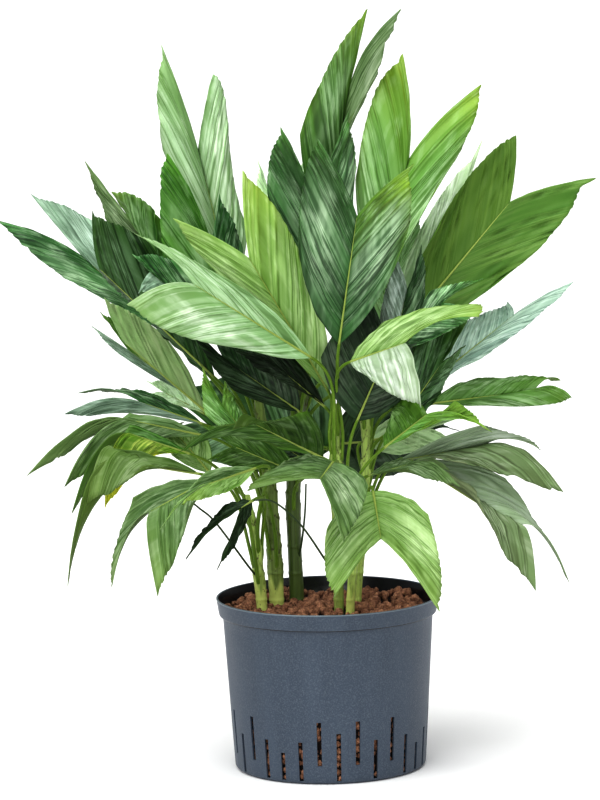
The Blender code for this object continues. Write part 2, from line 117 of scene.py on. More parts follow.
floor_mesh = bpy.data.meshes.new("floor")
corners = [(-1, -1), (1, -1), (1, 1), (-1, 1)]
floor_mesh.from_pydata([(x * FLOOR_REACH, y * FLOOR_REACH, 0.0) for x, y in corners], [], [(0, 1, 2, 3)])
floor = bpy.data.objects.new("floor", floor_mesh)
floor_mesh.materials.append(plain_material("floor", (0.95, 0.95, 0.95), 0.9))
bpy.context.scene.collection.objects.link(floor)
soft_lamp("right lamp", (1.9, -1.2, 1.1), PLANT_MIDDLE, size=1.2, power=8.0)
soft_lamp("top lamp", (-0.2, 0.3, 2.4), PLANT_MIDDLE, size=1.0, power=12.0)
main = bpy.data.lights.new("main light", "SUN")
main.energy = 3.6
main.angle = math.radians(75)
main_light = bpy.data.objects.new("main light", main)
main_light.rotation_euler = Vector(MAIN_LIGHT_WAY).to_track_quat("-Z", "Y").to_euler()
bpy.context.scene.collection.objects.link(main_light)
surround = bpy.data.worlds.new("surround")
surround.use_nodes = True
surround.node_tree.nodes["Background"].inputs["Color"].default_value = WHITE
surround.node_tree.nodes["Background"].inputs["Strength"].default_value = 0.40
bpy.context.scene.world = surround
bpy.context.scene.view_settings.view_transform = "Standard"
bpy.context.scene.view_settings.exposure = 0.08
bpy.context.scene.view_settings.gamma = 0.75

# Pot
# One moulded culture pot of dark blue-grey plastic: a tapered wall, a broad rim band with a rounded lip,
# and a ring of drain slots low in the wall that go right through it.
POT_HEIGHT = 0.194
RIM_RADIUS = 0.125
BAND_FOOT = POT_HEIGHT - 0.0195
BASE_RADIUS = 0.1075
WALL_TOP_RADIUS = 0.118
WALL = 0.0025
THROAT_RADIUS = 0.1196
FOOT_ROUNDING, FOOT_INSET = 0.005, 0.007
INNER_FLOOR = 0.0031
LIP = 0.0012
SLOT_COUNT = 32
SLOT_WIDTH = 0.0048

# The lowest and highest level of each slot, in an order that repeats round the pot.
SLOT_ORDER = ((0.004, 0.058), (0.0215, 0.071), (0.004, 0.048), (0.0215, 0.071),
              (0.004, 0.048), (0.004, 0.035), (0.004, 0.048), (0.0215, 0.071))
FIRST_SLOT = 2 * math.pi * 0.25 / SLOT_COUNT - math.pi / 2 + math.radians(1.7)


def new_piece(name, points, faces, material, slot, *nodes):
    """Mesh object from arrays of points and of faces, riding on the body and standing for its nodes."""
    mesh = bpy.data.meshes.new(name)
    mesh.from_pydata(points.tolist(), [], [f for group in faces for f in group.tolist()])
    mesh.shade_smooth()
    mesh.materials.append(material)
    piece = bpy.data.objects.new(name, mesh)
    bpy.context.scene.collection.objects.link(piece)
    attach(piece, "root")
    if nodes:
        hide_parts(*nodes)
    return piece


def ring_faces(lattice):
    """Quads between the neighbours of an index lattice whose columns close on themselves."""
    after = np.roll(lattice, -1, axis=1)
    return np.stack([lattice[:-1], after[:-1], after[1:], lattice[1:]], axis=-1).reshape(-1, 4)


def fan_faces(centre, ring):
    """Triangles from a centre point to a closed ring."""
    return np.stack([np.full(len(ring), centre), ring, np.roll(ring, -1)], axis=-1)


def turned_points(radii, heights, turns):
    """Points at every turn (columns) of a profile given by radii and heights (rows)."""
    radii = np.broadcast_to(np.asarray(radii)[:, None], (len(radii), len(turns)))
    heights = np.broadcast_to(np.asarray(heights)[:, None], radii.shape)
    return np.stack([radii * np.cos(turns), radii * np.sin(turns), heights], axis=-1)


def pot_outside(height):
    """Outer radius: a quarter ellipse at the foot, then a straight taper."""
    below = (FOOT_ROUNDING - np.minimum(height, FOOT_ROUNDING)) / FOOT_ROUNDING
    foot = np.sqrt(np.clip(1 - below ** 2, 0, 1))
    climb = np.clip(height - FOOT_ROUNDING, 0, None)
    taper = (WALL_TOP_RADIUS - BASE_RADIUS) * climb / (BAND_FOOT - FOOT_ROUNDING)
    return BASE_RADIUS - FOOT_INSET * (1 - foot) + taper


def pot_inside(height):
    """Inner radius of the wall below the rim band."""
    return BASE_RADIUS - WALL + (WALL_TOP_RADIUS - BASE_RADIUS) / BAND_FOOT * height


def joined(tree, socket, value):
    """Links an output to a socket, or sets the socket to a number or a colour."""
    if isinstance(value, bpy.types.NodeSocket):
        tree.links.new(value, socket)
    else:
        socket.default_value = (*value, 1.0) if isinstance(value, tuple) else value


def mixed(tree, low, high, factor):
    """Colour between low and high by a factor: sockets 6 and 7 are the colours, output 2 the result."""
    node = tree.nodes.new("ShaderNodeMix")
    node.data_type = "RGBA"
    joined(tree, node.inputs[0], factor)
    joined(tree, node.inputs[6], low)
    joined(tree, node.inputs[7], high)
    return node.outputs[2]


def reckoned(tree, operation, first, second=0.0):
    """Result of a sum, product or other operation on two numbers."""
    node = tree.nodes.new("ShaderNodeMath")
    node.operation = operation
    joined(tree, node.inputs[0], first)
    joined(tree, node.inputs[1], second)
    return node.outputs[0]


def ranged(tree, value, low, high, to_low=0.0, to_high=1.0):
    """Value carried from one range to another, and held at its ends."""
    node = tree.nodes.new("ShaderNodeMapRange")
    joined(tree, node.inputs["Value"], value)
    for socket, number in zip(("From Min", "From Max", "To Min", "To Max"), (low, high, to_low, to_high)):
        joined(tree, node.inputs[socket], number)
    return node.outputs["Result"]


def noise(tree, where, stretch, detail=3.0):
    """Noise over coordinates that are first multiplied by three numbers."""
    mapping = tree.nodes.new("ShaderNodeMapping")
    mapping.inputs["Scale"].default_value = stretch
    tree.links.new(where, mapping.inputs["Vector"])
    node = tree.nodes.new("ShaderNodeTexNoise")
    node.inputs["Scale"].default_value = 1.0
    node.inputs["Detail"].default_value = detail
    tree.links.new(mapping.outputs["Vector"], node.inputs["Vector"])
    return node.outputs["Fac"]


def embossed(tree, height, distance, strength):
    """Surface bumped by a height."""
    node = tree.nodes.new("ShaderNodeBump")
    node.inputs["Distance"].default_value = distance
    node.inputs["Strength"].default_value = strength
    tree.links.new(height, node.inputs["Height"])
    tree.links.new(node.outputs["Normal"], tree.nodes["Principled BSDF"].inputs["Normal"])


def pot_material():
    """Moulded plastic: blue-grey with a fine speckle and faint upright streaks."""
    material = plain_material("pot plastic", (0.062, 0.078, 0.098), 0.42)
    tree = material.node_tree
    shader = tree.nodes["Principled BSDF"]
    where = tree.nodes.new("ShaderNodeTexCoord").outputs["Object"]
    streaks = noise(tree, where, (38.0, 38.0, 5.0), 5.0)
    speckle = noise(tree, where, (650.0, 650.0, 650.0), 3.0)
    streaked = mixed(tree, (0.040, 0.058, 0.086), (0.058, 0.080, 0.113), ranged(tree, streaks, 0.3, 0.7))
    speckled = mixed(tree, streaked, (0.13, 0.155, 0.185), ranged(tree, speckle, 0.46, 0.72, 0.0, 0.55))
    joined(tree, shader.inputs["Base Color"], speckled)
    joined(tree, shader.inputs["Roughness"], ranged(tree, streaks, 0.3, 0.7, 0.36, 0.52))
    embossed(tree, speckle, 0.0006, 0.35)
    return material


def make_pot():
    """Outer and inner skins on one lattice of turns and heights.

    The cells of the slots are left out of both skins, and each slot gets walls from one skin to the other.
    """
    pitch = 2 * math.pi / SLOT_COUNT
    half = SLOT_WIDTH / 2 / BASE_RADIUS
    steps = np.concatenate([[-half, half], np.linspace(half, pitch - half, 6)[1:-1]])
    turns = (FIRST_SLOT + pitch * np.arange(SLOT_COUNT)[:, None] + steps).ravel()
    levels = {level for slot in SLOT_ORDER for level in slot}
    between = {0.010, 0.028, 0.042, 0.053} | set(np.linspace(0.085, BAND_FOOT - 0.001, 8))
    heights = np.array(sorted(levels | between))
    foot = np.array([0.0, 0.0004, 0.0012, 0.0024])
    band = np.array([[WALL_TOP_RADIUS + 0.0003, BAND_FOOT - 0.0004], [0.1214, BAND_FOOT + 0.0002],
                     [0.1220, BAND_FOOT + 0.0010], [0.1226, BAND_FOOT + 0.004],
                     [RIM_RADIUS - 0.0002, POT_HEIGHT - 0.0016], [RIM_RADIUS, POT_HEIGHT - 0.0008],
                     [RIM_RADIUS - 0.0003, POT_HEIGHT - 0.0002], [RIM_RADIUS - LIP, POT_HEIGHT],
                     [RIM_RADIUS - 2 * LIP + 0.0003, POT_HEIGHT - 0.0002],
                     [RIM_RADIUS - 2 * LIP, POT_HEIGHT - 0.001],
                     [THROAT_RADIUS + 0.0012, BAND_FOOT + 0.010], [THROAT_RADIUS, BAND_FOOT + 0.003],
                     [THROAT_RADIUS - 0.0012, BAND_FOOT + 0.001]])
    rows = [turned_points(pot_outside(foot), foot, turns),
            turned_points(pot_outside(heights), heights, turns),
            turned_points(band[:, 0], band[:, 1], turns),
            turned_points(pot_inside(heights[::-1]), heights[::-1], turns),
            turned_points([pot_inside(INNER_FLOOR)], [INNER_FLOOR], turns)]
    points = np.concatenate(rows).reshape(-1, 3)
    count = sum(len(row) for row in rows)
    lattice = np.arange(count * len(turns)).reshape(count, len(turns))
    outer = lattice[len(foot):len(foot) + len(heights)]
    start = len(foot) + len(heights) + len(band)
    inner = lattice[start:start + len(heights)][::-1]
    slot_number = np.arange(len(turns)) // len(steps)
    in_slot = np.arange(len(turns)) % len(steps) == 0
    low, high = np.array(SLOT_ORDER)[slot_number % len(SLOT_ORDER)].T
    middle = (heights[1:] + heights[:-1])[:, None] / 2
    opened = in_slot & (middle > low) & (middle < high)
    cells = ring_faces(lattice).reshape(count - 1, len(turns), 4)
    kept = np.ones(cells.shape[:2], bool)
    kept[len(foot):len(foot) + len(heights) - 1] = ~opened
    kept[start:start + len(heights) - 1] = ~opened[::-1]
    after = np.roll(np.arange(len(turns)), -1)
    closed = np.zeros_like(opened[:1])
    row, column = np.nonzero(opened)
    far = after[column]
    near_side = (outer[row, column], outer[row + 1, column], inner[row + 1, column], inner[row, column])
    far_side = (outer[row + 1, far], outer[row, far], inner[row, far], inner[row + 1, far])
    row, column = np.nonzero(opened & ~np.vstack([opened[1:], closed]))
    far = after[column]
    head = (outer[row + 1, column], outer[row + 1, far], inner[row + 1, far], inner[row + 1, column])
    row, column = np.nonzero(opened & ~np.vstack([closed, opened[:-1]]))
    far = after[column]
    sill = (outer[row, far], outer[row, column], inner[row, column], inner[row, far])
    walls = [np.stack(wall, axis=-1) for wall in (near_side, far_side, head, sill)]
    centres = np.array([[0.0, 0.0, 0.0], [0.0, 0.0, INNER_FLOOR]])
    under_fan = fan_faces(len(points), lattice[0])[:, ::-1]
    floor_fan = fan_faces(len(points) + 1, lattice[-1])
    faces = [cells[kept], *walls, under_fan, floor_fan]
    piece = new_piece("pot_shell", np.concatenate([points, centres]), faces, pot_material(), "pot", "pot")
    # The inner wall and the inner floor get a near-black material that is painted shade.
    piece.data.materials.append(plain_material("pot inside painted shade", (0.006, 0.007, 0.009), 0.25))
    # A thin pale band at the top of the lip is a painted highlight.
    piece.data.materials.append(plain_material("pot rim painted highlight", (0.15, 0.19, 0.22), 0.35))
    middles = np.empty(len(piece.data.polygons) * 3)
    piece.data.polygons.foreach_get("center", middles)
    x, y, z = middles.reshape(-1, 3).T
    reach = np.hypot(x, y)
    skin = np.where(z > BAND_FOOT, THROAT_RADIUS + 0.0022, pot_inside(z) + 0.0004)
    inside = (reach < skin) & (z > 0.002)
    rim_highlight = (z > POT_HEIGHT - 0.0014) & (reach > RIM_RADIUS - 0.0020)
    piece.data.polygons.foreach_set("material_index", np.where(rim_highlight, 2, np.where(inside, 1, 0)))
    piece.data.set_sharp_from_angle(angle=math.radians(40))


make_pot()

# Fronds
# Fifty-one living fronds, each one pleated blade forked into two lobes on its own stalk, which clasps a
# cane. The veins fan out from the midrib; the margin is torn into small teeth and the tips run out thin.

# A row gives the height of the joint in mm, the base of the blade and the end of the midrib, then the tip
# and the widest place of the left lobe and of the right one, as seen on the upper face.
FRONDS = {
    "a1": (405, (232, 290, 60), (198, 150, 100),
           (164, 54, 95), (163, 150, 90), (212, 76, 115), (246, 222, 90)),
    "a2": (385, (225, 330, 25), (212, 245, 30),
           (170, 158, 10), (164, 258, 5), (219, 199, 40), (246, 262, 40)),
    "a3": (360, (172, 300, 55), (134, 224, 72),
           (89, 165, 90), (116, 232, 85), (113, 194, 60), (168, 232, 50)),
    "a4": (345, (215, 378, -15), (99, 268, -60),
           (114, 284, -30), (166, 332, 0), (93, 216, -75), (150, 243, -60)),
    "a5": (330, (165, 332, 30), (82, 256, 50),
           (2, 222, 45), (105, 299, 30), (34, 198, 75), (100, 226, 62)),
    "a6": (300, (190, 395, 50), (128, 350, 70),
           (96, 329, 78), (135, 364, 66), (103, 316, 95), (145, 337, 85)),
    "a7": (280, (206, 412, 24), (125, 343, 12),
           (106, 302, 5), (168, 340, 27), (114, 320, 46), (152, 362, 44)),
    "a8": (262, (205, 414, 60), (165, 393, 72),
           (145, 396, 72), (180, 404, 60), (150, 383, 92), (185, 377, 80)),
    "a9": (243, (203, 424, 6), (140, 402, 2),
           (69, 414, -18), (125, 408, -4), (83, 394, 20), (140, 391, 14)),
    "a10": (235, (205, 436, -8), (125, 419, -30),
            (68, 483, -58), (130, 432, -30), (48, 464, -50), (130, 412, -14)),
    "b1": (425, (325, 245, 40), (348, 92, 60),
           (366, 14, 70), (300, 135, 45), (397, 13, 40), (352, 118, 35)),
    "b2": (410, (322, 295, -10), (315, 205, -10),
           (283, 132, -15), (268, 200, -20), (347, 117, 20), (354, 190, 10)),
    "b3": (395, (240, 345, -28), (150, 272, -72),
           (141, 289, -86), (178, 308, -66), (136, 258, -76), (188, 266, -62)),
    "b4": (370, (300, 412, -15), (225, 360, -45),
           (193, 330, -55), (235, 391, -45), (215, 338, -35), (284, 362, -35)),
    "b5": (345, (255, 448, -15), (222, 405, -25),
           (204, 370, -30), (205, 414, -28), (225, 385, -15), (238, 410, -10)),
    "b6": (320, (318, 468, 0), (270, 440, -5),
           (253, 431, -15), (290, 458, -15), (262, 426, 8), (300, 428, 5)),
    "b7": (300, (298, 474, -20), (235, 447, -70),
           (212, 458, -88), (258, 468, -66), (205, 428, -75), (255, 427, -48)),
    "c1": (300, (210, 473, 10), (172, 428, 8),
           (161, 424, 4), (172, 455, 6), (180, 424, 12), (208, 440, 12)),
    "c2": (290, (190, 454, -48), (128, 433, -72),
           (106, 503, -98), (142, 448, -70), (75, 509, -72), (130, 425, -58)),
    "c3": (240, (200, 474, -78), (120, 462, -118),
           (90, 500, -138), (142, 467, -112), (70, 581, -150), (112, 449, -102)),
    "c4": (224, (208, 480, -100), (150, 512, -150),
           (157, 590, -185), (188, 509, -150), (113, 584, -160), (133, 498, -125)),
    "c5": (260, (256, 468, -120), (208, 484, -180),
           (184, 502, -155), (228, 492, -150), (164, 526, -200), (205, 473, -170)),
    "c6": (250, (252, 501, -80), (241, 508, -95),
           (219, 565, -110), (245, 522, -95), (189, 554, -80), (222, 508, -80)),
    "e1": (400, (339, 345, -95), (357, 216, -125),
           (320, 141, -115), (299, 245, -110), (407, 170, -150), (402, 250, -130)),
    "e2": (372, (328, 391, -50), (249, 258, -92),
           (177, 220, -110), (239, 290, -90), (243, 176, -85), (313, 290, -72)),
    "e3": (358, (312, 358, -90), (193, 284, -150),
           (132, 303, -185), (250, 349, -120), (139, 237, -150), (236, 284, -122)),
    "e4": (362, (350, 362, -104), (405, 343, -155),
           (474, 319, -182), (397, 317, -130), (420, 403, -200), (364, 373, -124)),
    "e5": (328, (325, 407, -40), (270, 360, -62),
           (240, 352, -76), (300, 388, -52), (238, 338, -72), (288, 351, -56)),
    "e6": (296, (357, 421, -60), (388, 350, -80),
           (368, 296, -85), (321, 357, -70), (412, 345, -72), (405, 395, -55)),
    "e7": (312, (323, 458, -118), (255, 424, -175),
           (180, 452, -200), (244, 424, -168), (235, 429, -215), (308, 411, -142)),
    "e8": (290, (333, 462, -130), (320, 479, -205),
           (343, 539, -250), (368, 486, -195), (249, 491, -222), (298, 457, -175)),
    "e9": (280, (384, 448, -66), (427, 414, -80),
           (393, 402, -45), (391, 422, -55), (487, 431, -95), (455, 400, -85)),
    "d1": (262, (373, 491, -100), (381, 539, -160),
           (436, 607, -175), (428, 515, -135), (337, 596, -175), (327, 530, -150)),
    "f1": (440, (375, 285, 10), (409, 159, 40),
           (403, 59, 60), (357, 180, 20), (477, 88, 40), (440, 180, 25)),
    "f2": (425, (400, 335, 8), (510, 202, 40),
           (581, 182, 60), (504, 278, 34), (516, 137, 70), (440, 225, 20)),
    "f3": (410, (398, 310, 55), (455, 218, 85),
           (476, 158, 110), (417, 238, 80), (500, 200, 120), (450, 262, 60)),
    "f4": (395, (390, 366, -32), (407, 290, -75),
           (398, 262, -105), (380, 325, -58), (420, 249, -100), (423, 304, -62)),
    "f5": (380, (402, 348, -18), (440, 303, -22),
           (479, 281, -25), (430, 292, -16), (474, 314, -36), (440, 335, -32)),
    "f6": (365, (428, 385, 40), (514, 315, 71),
           (509, 305, 90), (455, 328, 70), (569, 284, 70), (475, 361, 45)),
    "f7": (350, (398, 425, 5), (442, 362, -5),
           (470, 315, -8), (412, 350, -15), (462, 346, 25), (436, 399, 12)),
    "f8": (330, (430, 404, 25), (534, 391, 52),
           (558, 381, 73), (480, 379, 60), (570, 397, 50), (490, 405, 38)),
    "f9": (310, (364, 442, 40), (430, 428, 55),
           (445, 436, 50), (400, 455, 40), (457, 418, 65), (395, 416, 55)),
    "f10": (295, (396, 462, 20), (486, 444, 30),
            (539, 450, 20), (482, 425, 38), (558, 489, 0), (448, 457, 12)),
    "f11": (280, (412, 461, 38), (515, 527, 15),
            (566, 579, 30), (505, 478, 42), (534, 586, 0), (475, 491, 5)),
    "f12": (265, (368, 476, -15), (415, 463, -22),
            (446, 470, 0), (400, 458, -8), (456, 485, -32), (405, 468, -34)),
    "g1": (420, (300, 300, 108), (275, 215, 112),
           (260, 165, 105), (262, 235, 98), (302, 165, 128), (315, 240, 128)),
    "g2": (405, (385, 330, 95), (400, 240, 108),
           (385, 190, 118), (365, 260, 108), (416, 206, 100), (420, 265, 92)),
    "g3": (385, (255, 330, 130), (200, 270, 185),
           (150, 252, 210), (185, 310, 190), (178, 225, 225), (235, 265, 205)),
    "g4": (370, (400, 360, 130), (455, 295, 180),
           (520, 225, 215), (430, 265, 190), (500, 256, 225), (460, 302, 190)),
    "g5": (345, (330, 450, 104), (208, 425, 180),
           (168, 440, 215), (262, 472, 150), (168, 402, 225), (322, 362, 142)),
    "g6": (325, (334, 444, 118), (420, 438, 180),
           (455, 432, 215), (356, 396, 150), (452, 450, 215), (352, 482, 150)),
}

# A row gives the radius of a cane at its foot and at its top in mm, and the places along it.
CANES = {
    "a": (9.0, 4.5, [(278, 640, 35), (277, 606, 35), (270, 490, 38), (263, 430, 38), (256, 385, 36)]),
    "b": (9.5, 4.5, [(298, 640, 45), (297, 606, 45), (293, 490, 46), (297, 420, 42), (302, 372, 38)]),
    "c": (6.5, 3.5, [(262, 640, 8), (262, 608, 8), (255, 540, 2), (247, 495, -6)]),
    "d": (5.5, 4.0, [(350, 640, -34), (350, 616, -34), (352, 580, -42), (356, 545, -48)]),
    "e": (6.0, 4.0, [(339, 640, -24), (339, 612, -24), (338, 520, -32), (336, 440, -40), (335, 404, -41)]),
    "f": (4.5, 4.0, [(357, 640, 24), (357, 606, 24), (366, 472, 28), (366, 410, 30), (370, 345, 34)]),
    "g": (6.5, 4.0, [(299, 628, 76), (299, 596, 76), (294, 490, 82), (298, 430, 88), (308, 385, 92)]),
}

# How far the veins towards the end of the midrib arch up, in mm.
ARCH = {"c2": 14, "c3": 30, "c4": 12, "c5": 6, "a10": 10, "a9": 6, "e7": 12, "e8": 3, "d1": 8,
        "f10": 8, "f11": 22, "f8": 8, "f12": 6, "e9": 8, "e4": 8, "e3": 6, "g5": 8, "g6": 8}

# Joints turned round the cane to clear a neighbour's stalk, degrees.
TURN = {"e2": -35, "e5": -40, "f4": -45, "f5": 30, "c6": 105, "c5": 28, "c4": 10, "a10": 75,
        "a9": 35, "e4": 58, "c1": -50, "c2": -20, "c3": -25, "e1": 25, "e3": 8, "e6": 50,
        "e9": 10, "e8": 15, "e7": -10, "a6": -18, "a8": -45, "a7": -8}

# Veins of a lobe and points along each one, then its pleats, its crumples and the swells across it: how many
# there are, and how high as a share of a vein's length. Camber is such a share too. Last come the blade's
# thickness and its deepest tooth.
COLUMNS, ROWS = 61, 17
PLEATS = 8
PLEAT_DEPTH = 0.0014
CRUMPLE_DEPTH = 0.0012
SWELLS = ((1.3, 0.018), (2.7, 0.010), (5.0, 0.005))
CAMBER = 0.055
BLADE = 0.0007
TOOTH = 0.0030

# How far the veins lean forward where they leave the midrib, at its foot and at its end.
EDGE_LEAN, INNER_LEAN = -0.40, 0.45

# A stalk's first and last pull as shares of its reach, its lean out from the cane, and its gap to it.
STALK_CLIMB, STALK_ENTRY, STALK_LEAN = 0.40, 0.35, 0.15
STALK_OFF = 0.0023
ROD_SIDES = 8

# The finish of the left lobe and the right one, its tone, where less than 1 is darker than the finish and
# more is lighter, and how far it has yellowed: above 1 the whole outer part is yellow, not the tip alone.
# Here and in the next tables a single entry holds for both lobes.
# Tones are partly painted light and shade: one below 1 darkens a lobe that lies deep in shade among the
# others, and one above 1 lightens a lobe that the leaves around it shade.
LOOKS = {
    "a1": [("mint", 1.0, 0.1), ("mint", 1.05, 0.0)], "a2": [("fresh", 1.1, 0.0), ("blue", 1.0, 0.0)],
    "a3": [("sage", 0.8, 0.1), ("fresh", 0.9, 0.2)], "a4": [("deep", 1.0, 0.1)],
    "a5": [("blue", 1.2, 0.0), ("grey", 1.2, 0.0)], "a6": [("grey", 1.1, 0.1), ("olive", 1.2, 0.1)],
    "a7": [("mint", 1.3, 0.1)], "a8": [("pearl", 1.4, 0.0)], "a9": [("grey", 1.0, 0.0), ("blue", 1.0, 0.0)],
    "a10": [("sage", 0.9, 0.1), ("sage", 1.0, 0.1)], "b1": [("fresh", 0.75, 0.3), ("sage", 0.7, 0.0)],
    "b2": [("blue", 0.95, 0.1), ("blue", 1.0, 0.1)], "b3": [("grey", 1.35, 0.0), ("blue", 1.35, 0.0)],
    "b4": [("deep", 0.5, 0.0), ("blue", 0.4, 0.0)], "b5": [("bright", 1.2, 0.2)],
    "b6": [("deep", 0.4, 0.0)], "b7": [("olive", 0.8, 0.1)], "c1": [("pale", 0.9, 0.1)],
    "c2": [("yellow", 1.1, 2.0), ("fresh", 0.95, 0.2)], "c3": [("pale", 0.6, 0.1)],
    "c4": [("sage", 0.9, 0.2), ("sage", 0.8, 0.2)], "c5": [("pale", 1.2, 0.2), ("sage", 1.2, 0.2)],
    "c6": [("deep", 0.5, 0.1)], "d1": [("pale", 0.88, 0.1), ("pale", 0.86, 0.1)],
    "e1": [("blue", 0.8, 0.1), ("blue", 0.9, 0.9)], "e2": [("pale", 1.0, 0.1), ("pale", 1.05, 0.25)],
    "e3": [("mint", 1.05, 0.2), ("mint", 1.05, 0.1)], "e4": [("pale", 0.95, 0.2), ("pearl", 0.72, 0.1)],
    "e5": [("deep", 0.3, 0.0)], "e6": [("blue", 0.3, 0.0)],
    "e7": [("olive", 0.9, 0.0), ("olive", 0.6, 0.6)], "e8": [("sage", 0.8, 0.1), ("sage", 0.75, 0.3)],
    "e9": [("olive", 1.2, 0.3), ("bright", 1.2, 0.3)], "f1": [("bright", 0.9, 0.3)],
    "f2": [("fresh", 1.15, 0.4), ("olive", 1.15, 0.4)], "f3": [("pearl", 1.2, 0.1)],
    "f4": [("grey", 0.75, 0.0), ("blue", 0.8, 0.0)], "f5": [("blue", 1.7, 0.1), ("blue", 1.5, 0.1)],
    "f6": [("frost", 1.25, 0.0), ("frost", 1.2, 0.0)], "f7": [("deep", 1.3, 0.2), ("deep", 1.2, 0.2)],
    "f8": [("bright", 0.7, 0.1)], "f9": [("pearl", 1.35, 0.0)],
    "f10": [("pearl", 0.55, 0.1), ("stone", 1.0, 0.1)], "f11": [("pearl", 0.7, 0.1), ("stone", 0.95, 0.1)],
    "f12": [("sage", 0.85, 0.1)], "g1": [("pearl", 1.5, 0.0)], "g2": [("mint", 1.4, 0.0)],
    "g3": [("deep", 1.0, 0.0)], "g4": [("deep", 0.6, 0.0)], "g5": [("deep", 1.4, 0.0)],
    "g6": [("deep", 0.6, 0.0)],
}


def smooth_way(spots, steps):
    """Catmull-Rom curve through the points, each stretch sampled at steps even values of its parameter."""
    ends = np.vstack([2 * spots[0] - spots[1], spots, 2 * spots[-1] - spots[-2]])
    t = np.arange(steps)[:, None] / steps
    way = [0.5 * (2 * p1 + (p2 - p0) * t + (2 * p0 - 5 * p1 + 4 * p2 - p3) * t ** 2
                  + (3 * p1 - p0 - 3 * p2 + p3) * t ** 3)
           for p0, p1, p2, p3 in zip(ends, ends[1:], ends[2:], ends[3:])]
    return np.vstack([*way, spots[-1:]])


def cane_way(letter):
    """Points along a cane's smooth way, from its foot to its top."""
    return smooth_way(place(CANES[letter][2]), 40)


def cane_at(letter, height):
    """Centre, radius and direction of a cane at a height, read along its smooth way."""
    foot, top = CANES[letter][:2]
    way = cane_way(letter)
    along = np.linspace(0, 1, len(way))
    share = np.interp(height, way[:, 2], along)
    centre = np.array([np.interp(share, along, way[:, axis]) for axis in range(3)]).T
    step = np.array([np.interp(share, along, np.gradient(way[:, axis])) for axis in range(3)]).T
    return centre, (foot + (top - foot) * share) * MM, unit(step)


def bezier(points, t):
    """Bezier curve through any number of control points, by mixing neighbours until one is left."""
    while len(points) > 1:
        points = [a + (b - a) * t for a, b in zip(points, points[1:])]
    return points[0]


def eased(value, low, high):
    """Smooth step from 0 at low to 1 at high."""
    t = np.clip((value - low) / (high - low), 0, 1)
    return t * t * (3 - 2 * t)


def lobe_row(table, name, side, usual=None):
    """A frond's entry in a table for its left lobe, side -1, or its right lobe, side 1."""
    entries = table.get(name, [usual])
    return entries[0] if side < 0 else entries[-1]


def lobe_surface(name, base, split, tip, corner, side):
    """Middle surface of a lobe: a row of points for each vein, from the midrib out to the margin.

    u runs from 0 at the foot of the midrib to 1 at its end, and v from 0 at the midrib to 1 at the margin.
    Margin = cubic Bezier curve of u from the widest place to the tip, cut back by teeth, its tip drawn out.
    Vein = quadratic Bezier curve of v that starts with its lean, plus 4 v (1 - v) of its arch and camber.
    Pleats = triangle wave of PLEATS * u, shifted by slow sines of u, its depth varied by crossed sines.
    Swells = sines of u and v, their height growing as v^1.5.
    """
    chance = np.random.default_rng([ord(c) for c in name] + [side + 1])
    u = np.linspace(0, 1, COLUMNS)[:, None, None]
    v = np.linspace(0, 1, ROWS)[None, :, None]
    midrib = split - base
    forward = unit(midrib)
    chord = unit(tip - corner)
    middle = (corner + tip) / 2
    outward = unit((middle - split) - chord * np.dot(middle - split, chord))
    span = np.linalg.norm(tip - corner)
    wide, far, full = lobe_row(SHAPES, name, side, PLAIN)
    shoulder = corner + chord * span * SHOULDER + outward * span * wide
    crown = corner + chord * span * far + outward * span * full
    start = base + midrib * u
    end = bezier([corner, shoulder, crown, tip], u)
    reach = end - start
    length = np.linalg.norm(reach, axis=-1, keepdims=True)
    teeth = (u * PLEATS * 1.5 + chance.uniform()) % 1.0
    tear = chance.uniform(0.3, 1.0, COLUMNS)[:, None, None]
    end = end - reach / length * TOOTH * teeth * tear * eased(u, 0.15, 0.4) * eased(1 - u, 0.0, 0.06)
    tail = eased(u, 0.90, 1.0) ** 2 * lobe_row(TAILS, name, side, 6) * MM
    end = end + unit(tip - split) * tail
    lean = lobe_row(LEANS, name, side, INNER_LEAN)
    ahead = unit(reach / length + forward * (EDGE_LEAN + (lean - EDGE_LEAN) * u))
    bend = start + ahead * length * 0.5
    skin = bezier([start, bend, end], v)
    face = unit(np.cross(midrib, corner - base)) * -side
    skin = skin + np.array([0.0, 0.0, 1.0]) * ARCH.get(name, 0) * MM * 4 * v * (1 - v) * u
    skin = skin + face * length * CAMBER * 4 * v * (1 - v)
    drift = chance.uniform(0, 2 * math.pi, 5)
    shift = 0.45 * np.sin(2 * math.pi * 1.7 * u + drift[0]) + 0.25 * np.sin(2 * math.pi * 3.9 * u + drift[1])
    phase = u * PLEATS + shift
    pleat = 4 * np.abs(phase % 1.0 - 0.5) - 1
    crumple = RIPPLE.get(name, 0.5)
    along = (np.sin(2 * math.pi * (1.9 * v + 2.3 * u) + drift[2])
             + np.sin(2 * math.pi * (3.3 * v - 3.1 * u) + drift[3]))
    depth = 1 + crumple * along + 0.35 * np.sin(2 * math.pi * 2.3 * u + drift[4])
    skin = skin + face * PLEAT_DEPTH * pleat * depth * eased(v, 0.0, 0.25) * (1 - 0.35 * v)
    skin = skin + face * CRUMPLE_DEPTH * crumple * along * eased(v, 0.1, 0.5)
    for number, size in SWELLS:
        turn, slant = chance.uniform(0, 2 * math.pi), chance.uniform(-0.8, 0.8)
        wave = np.sin(2 * math.pi * (number * u + slant * v) + turn)
        skin = skin + face * size * length * wave * v ** 1.5
    return skin, np.broadcast_to(phase[..., 0], skin.shape[:2])


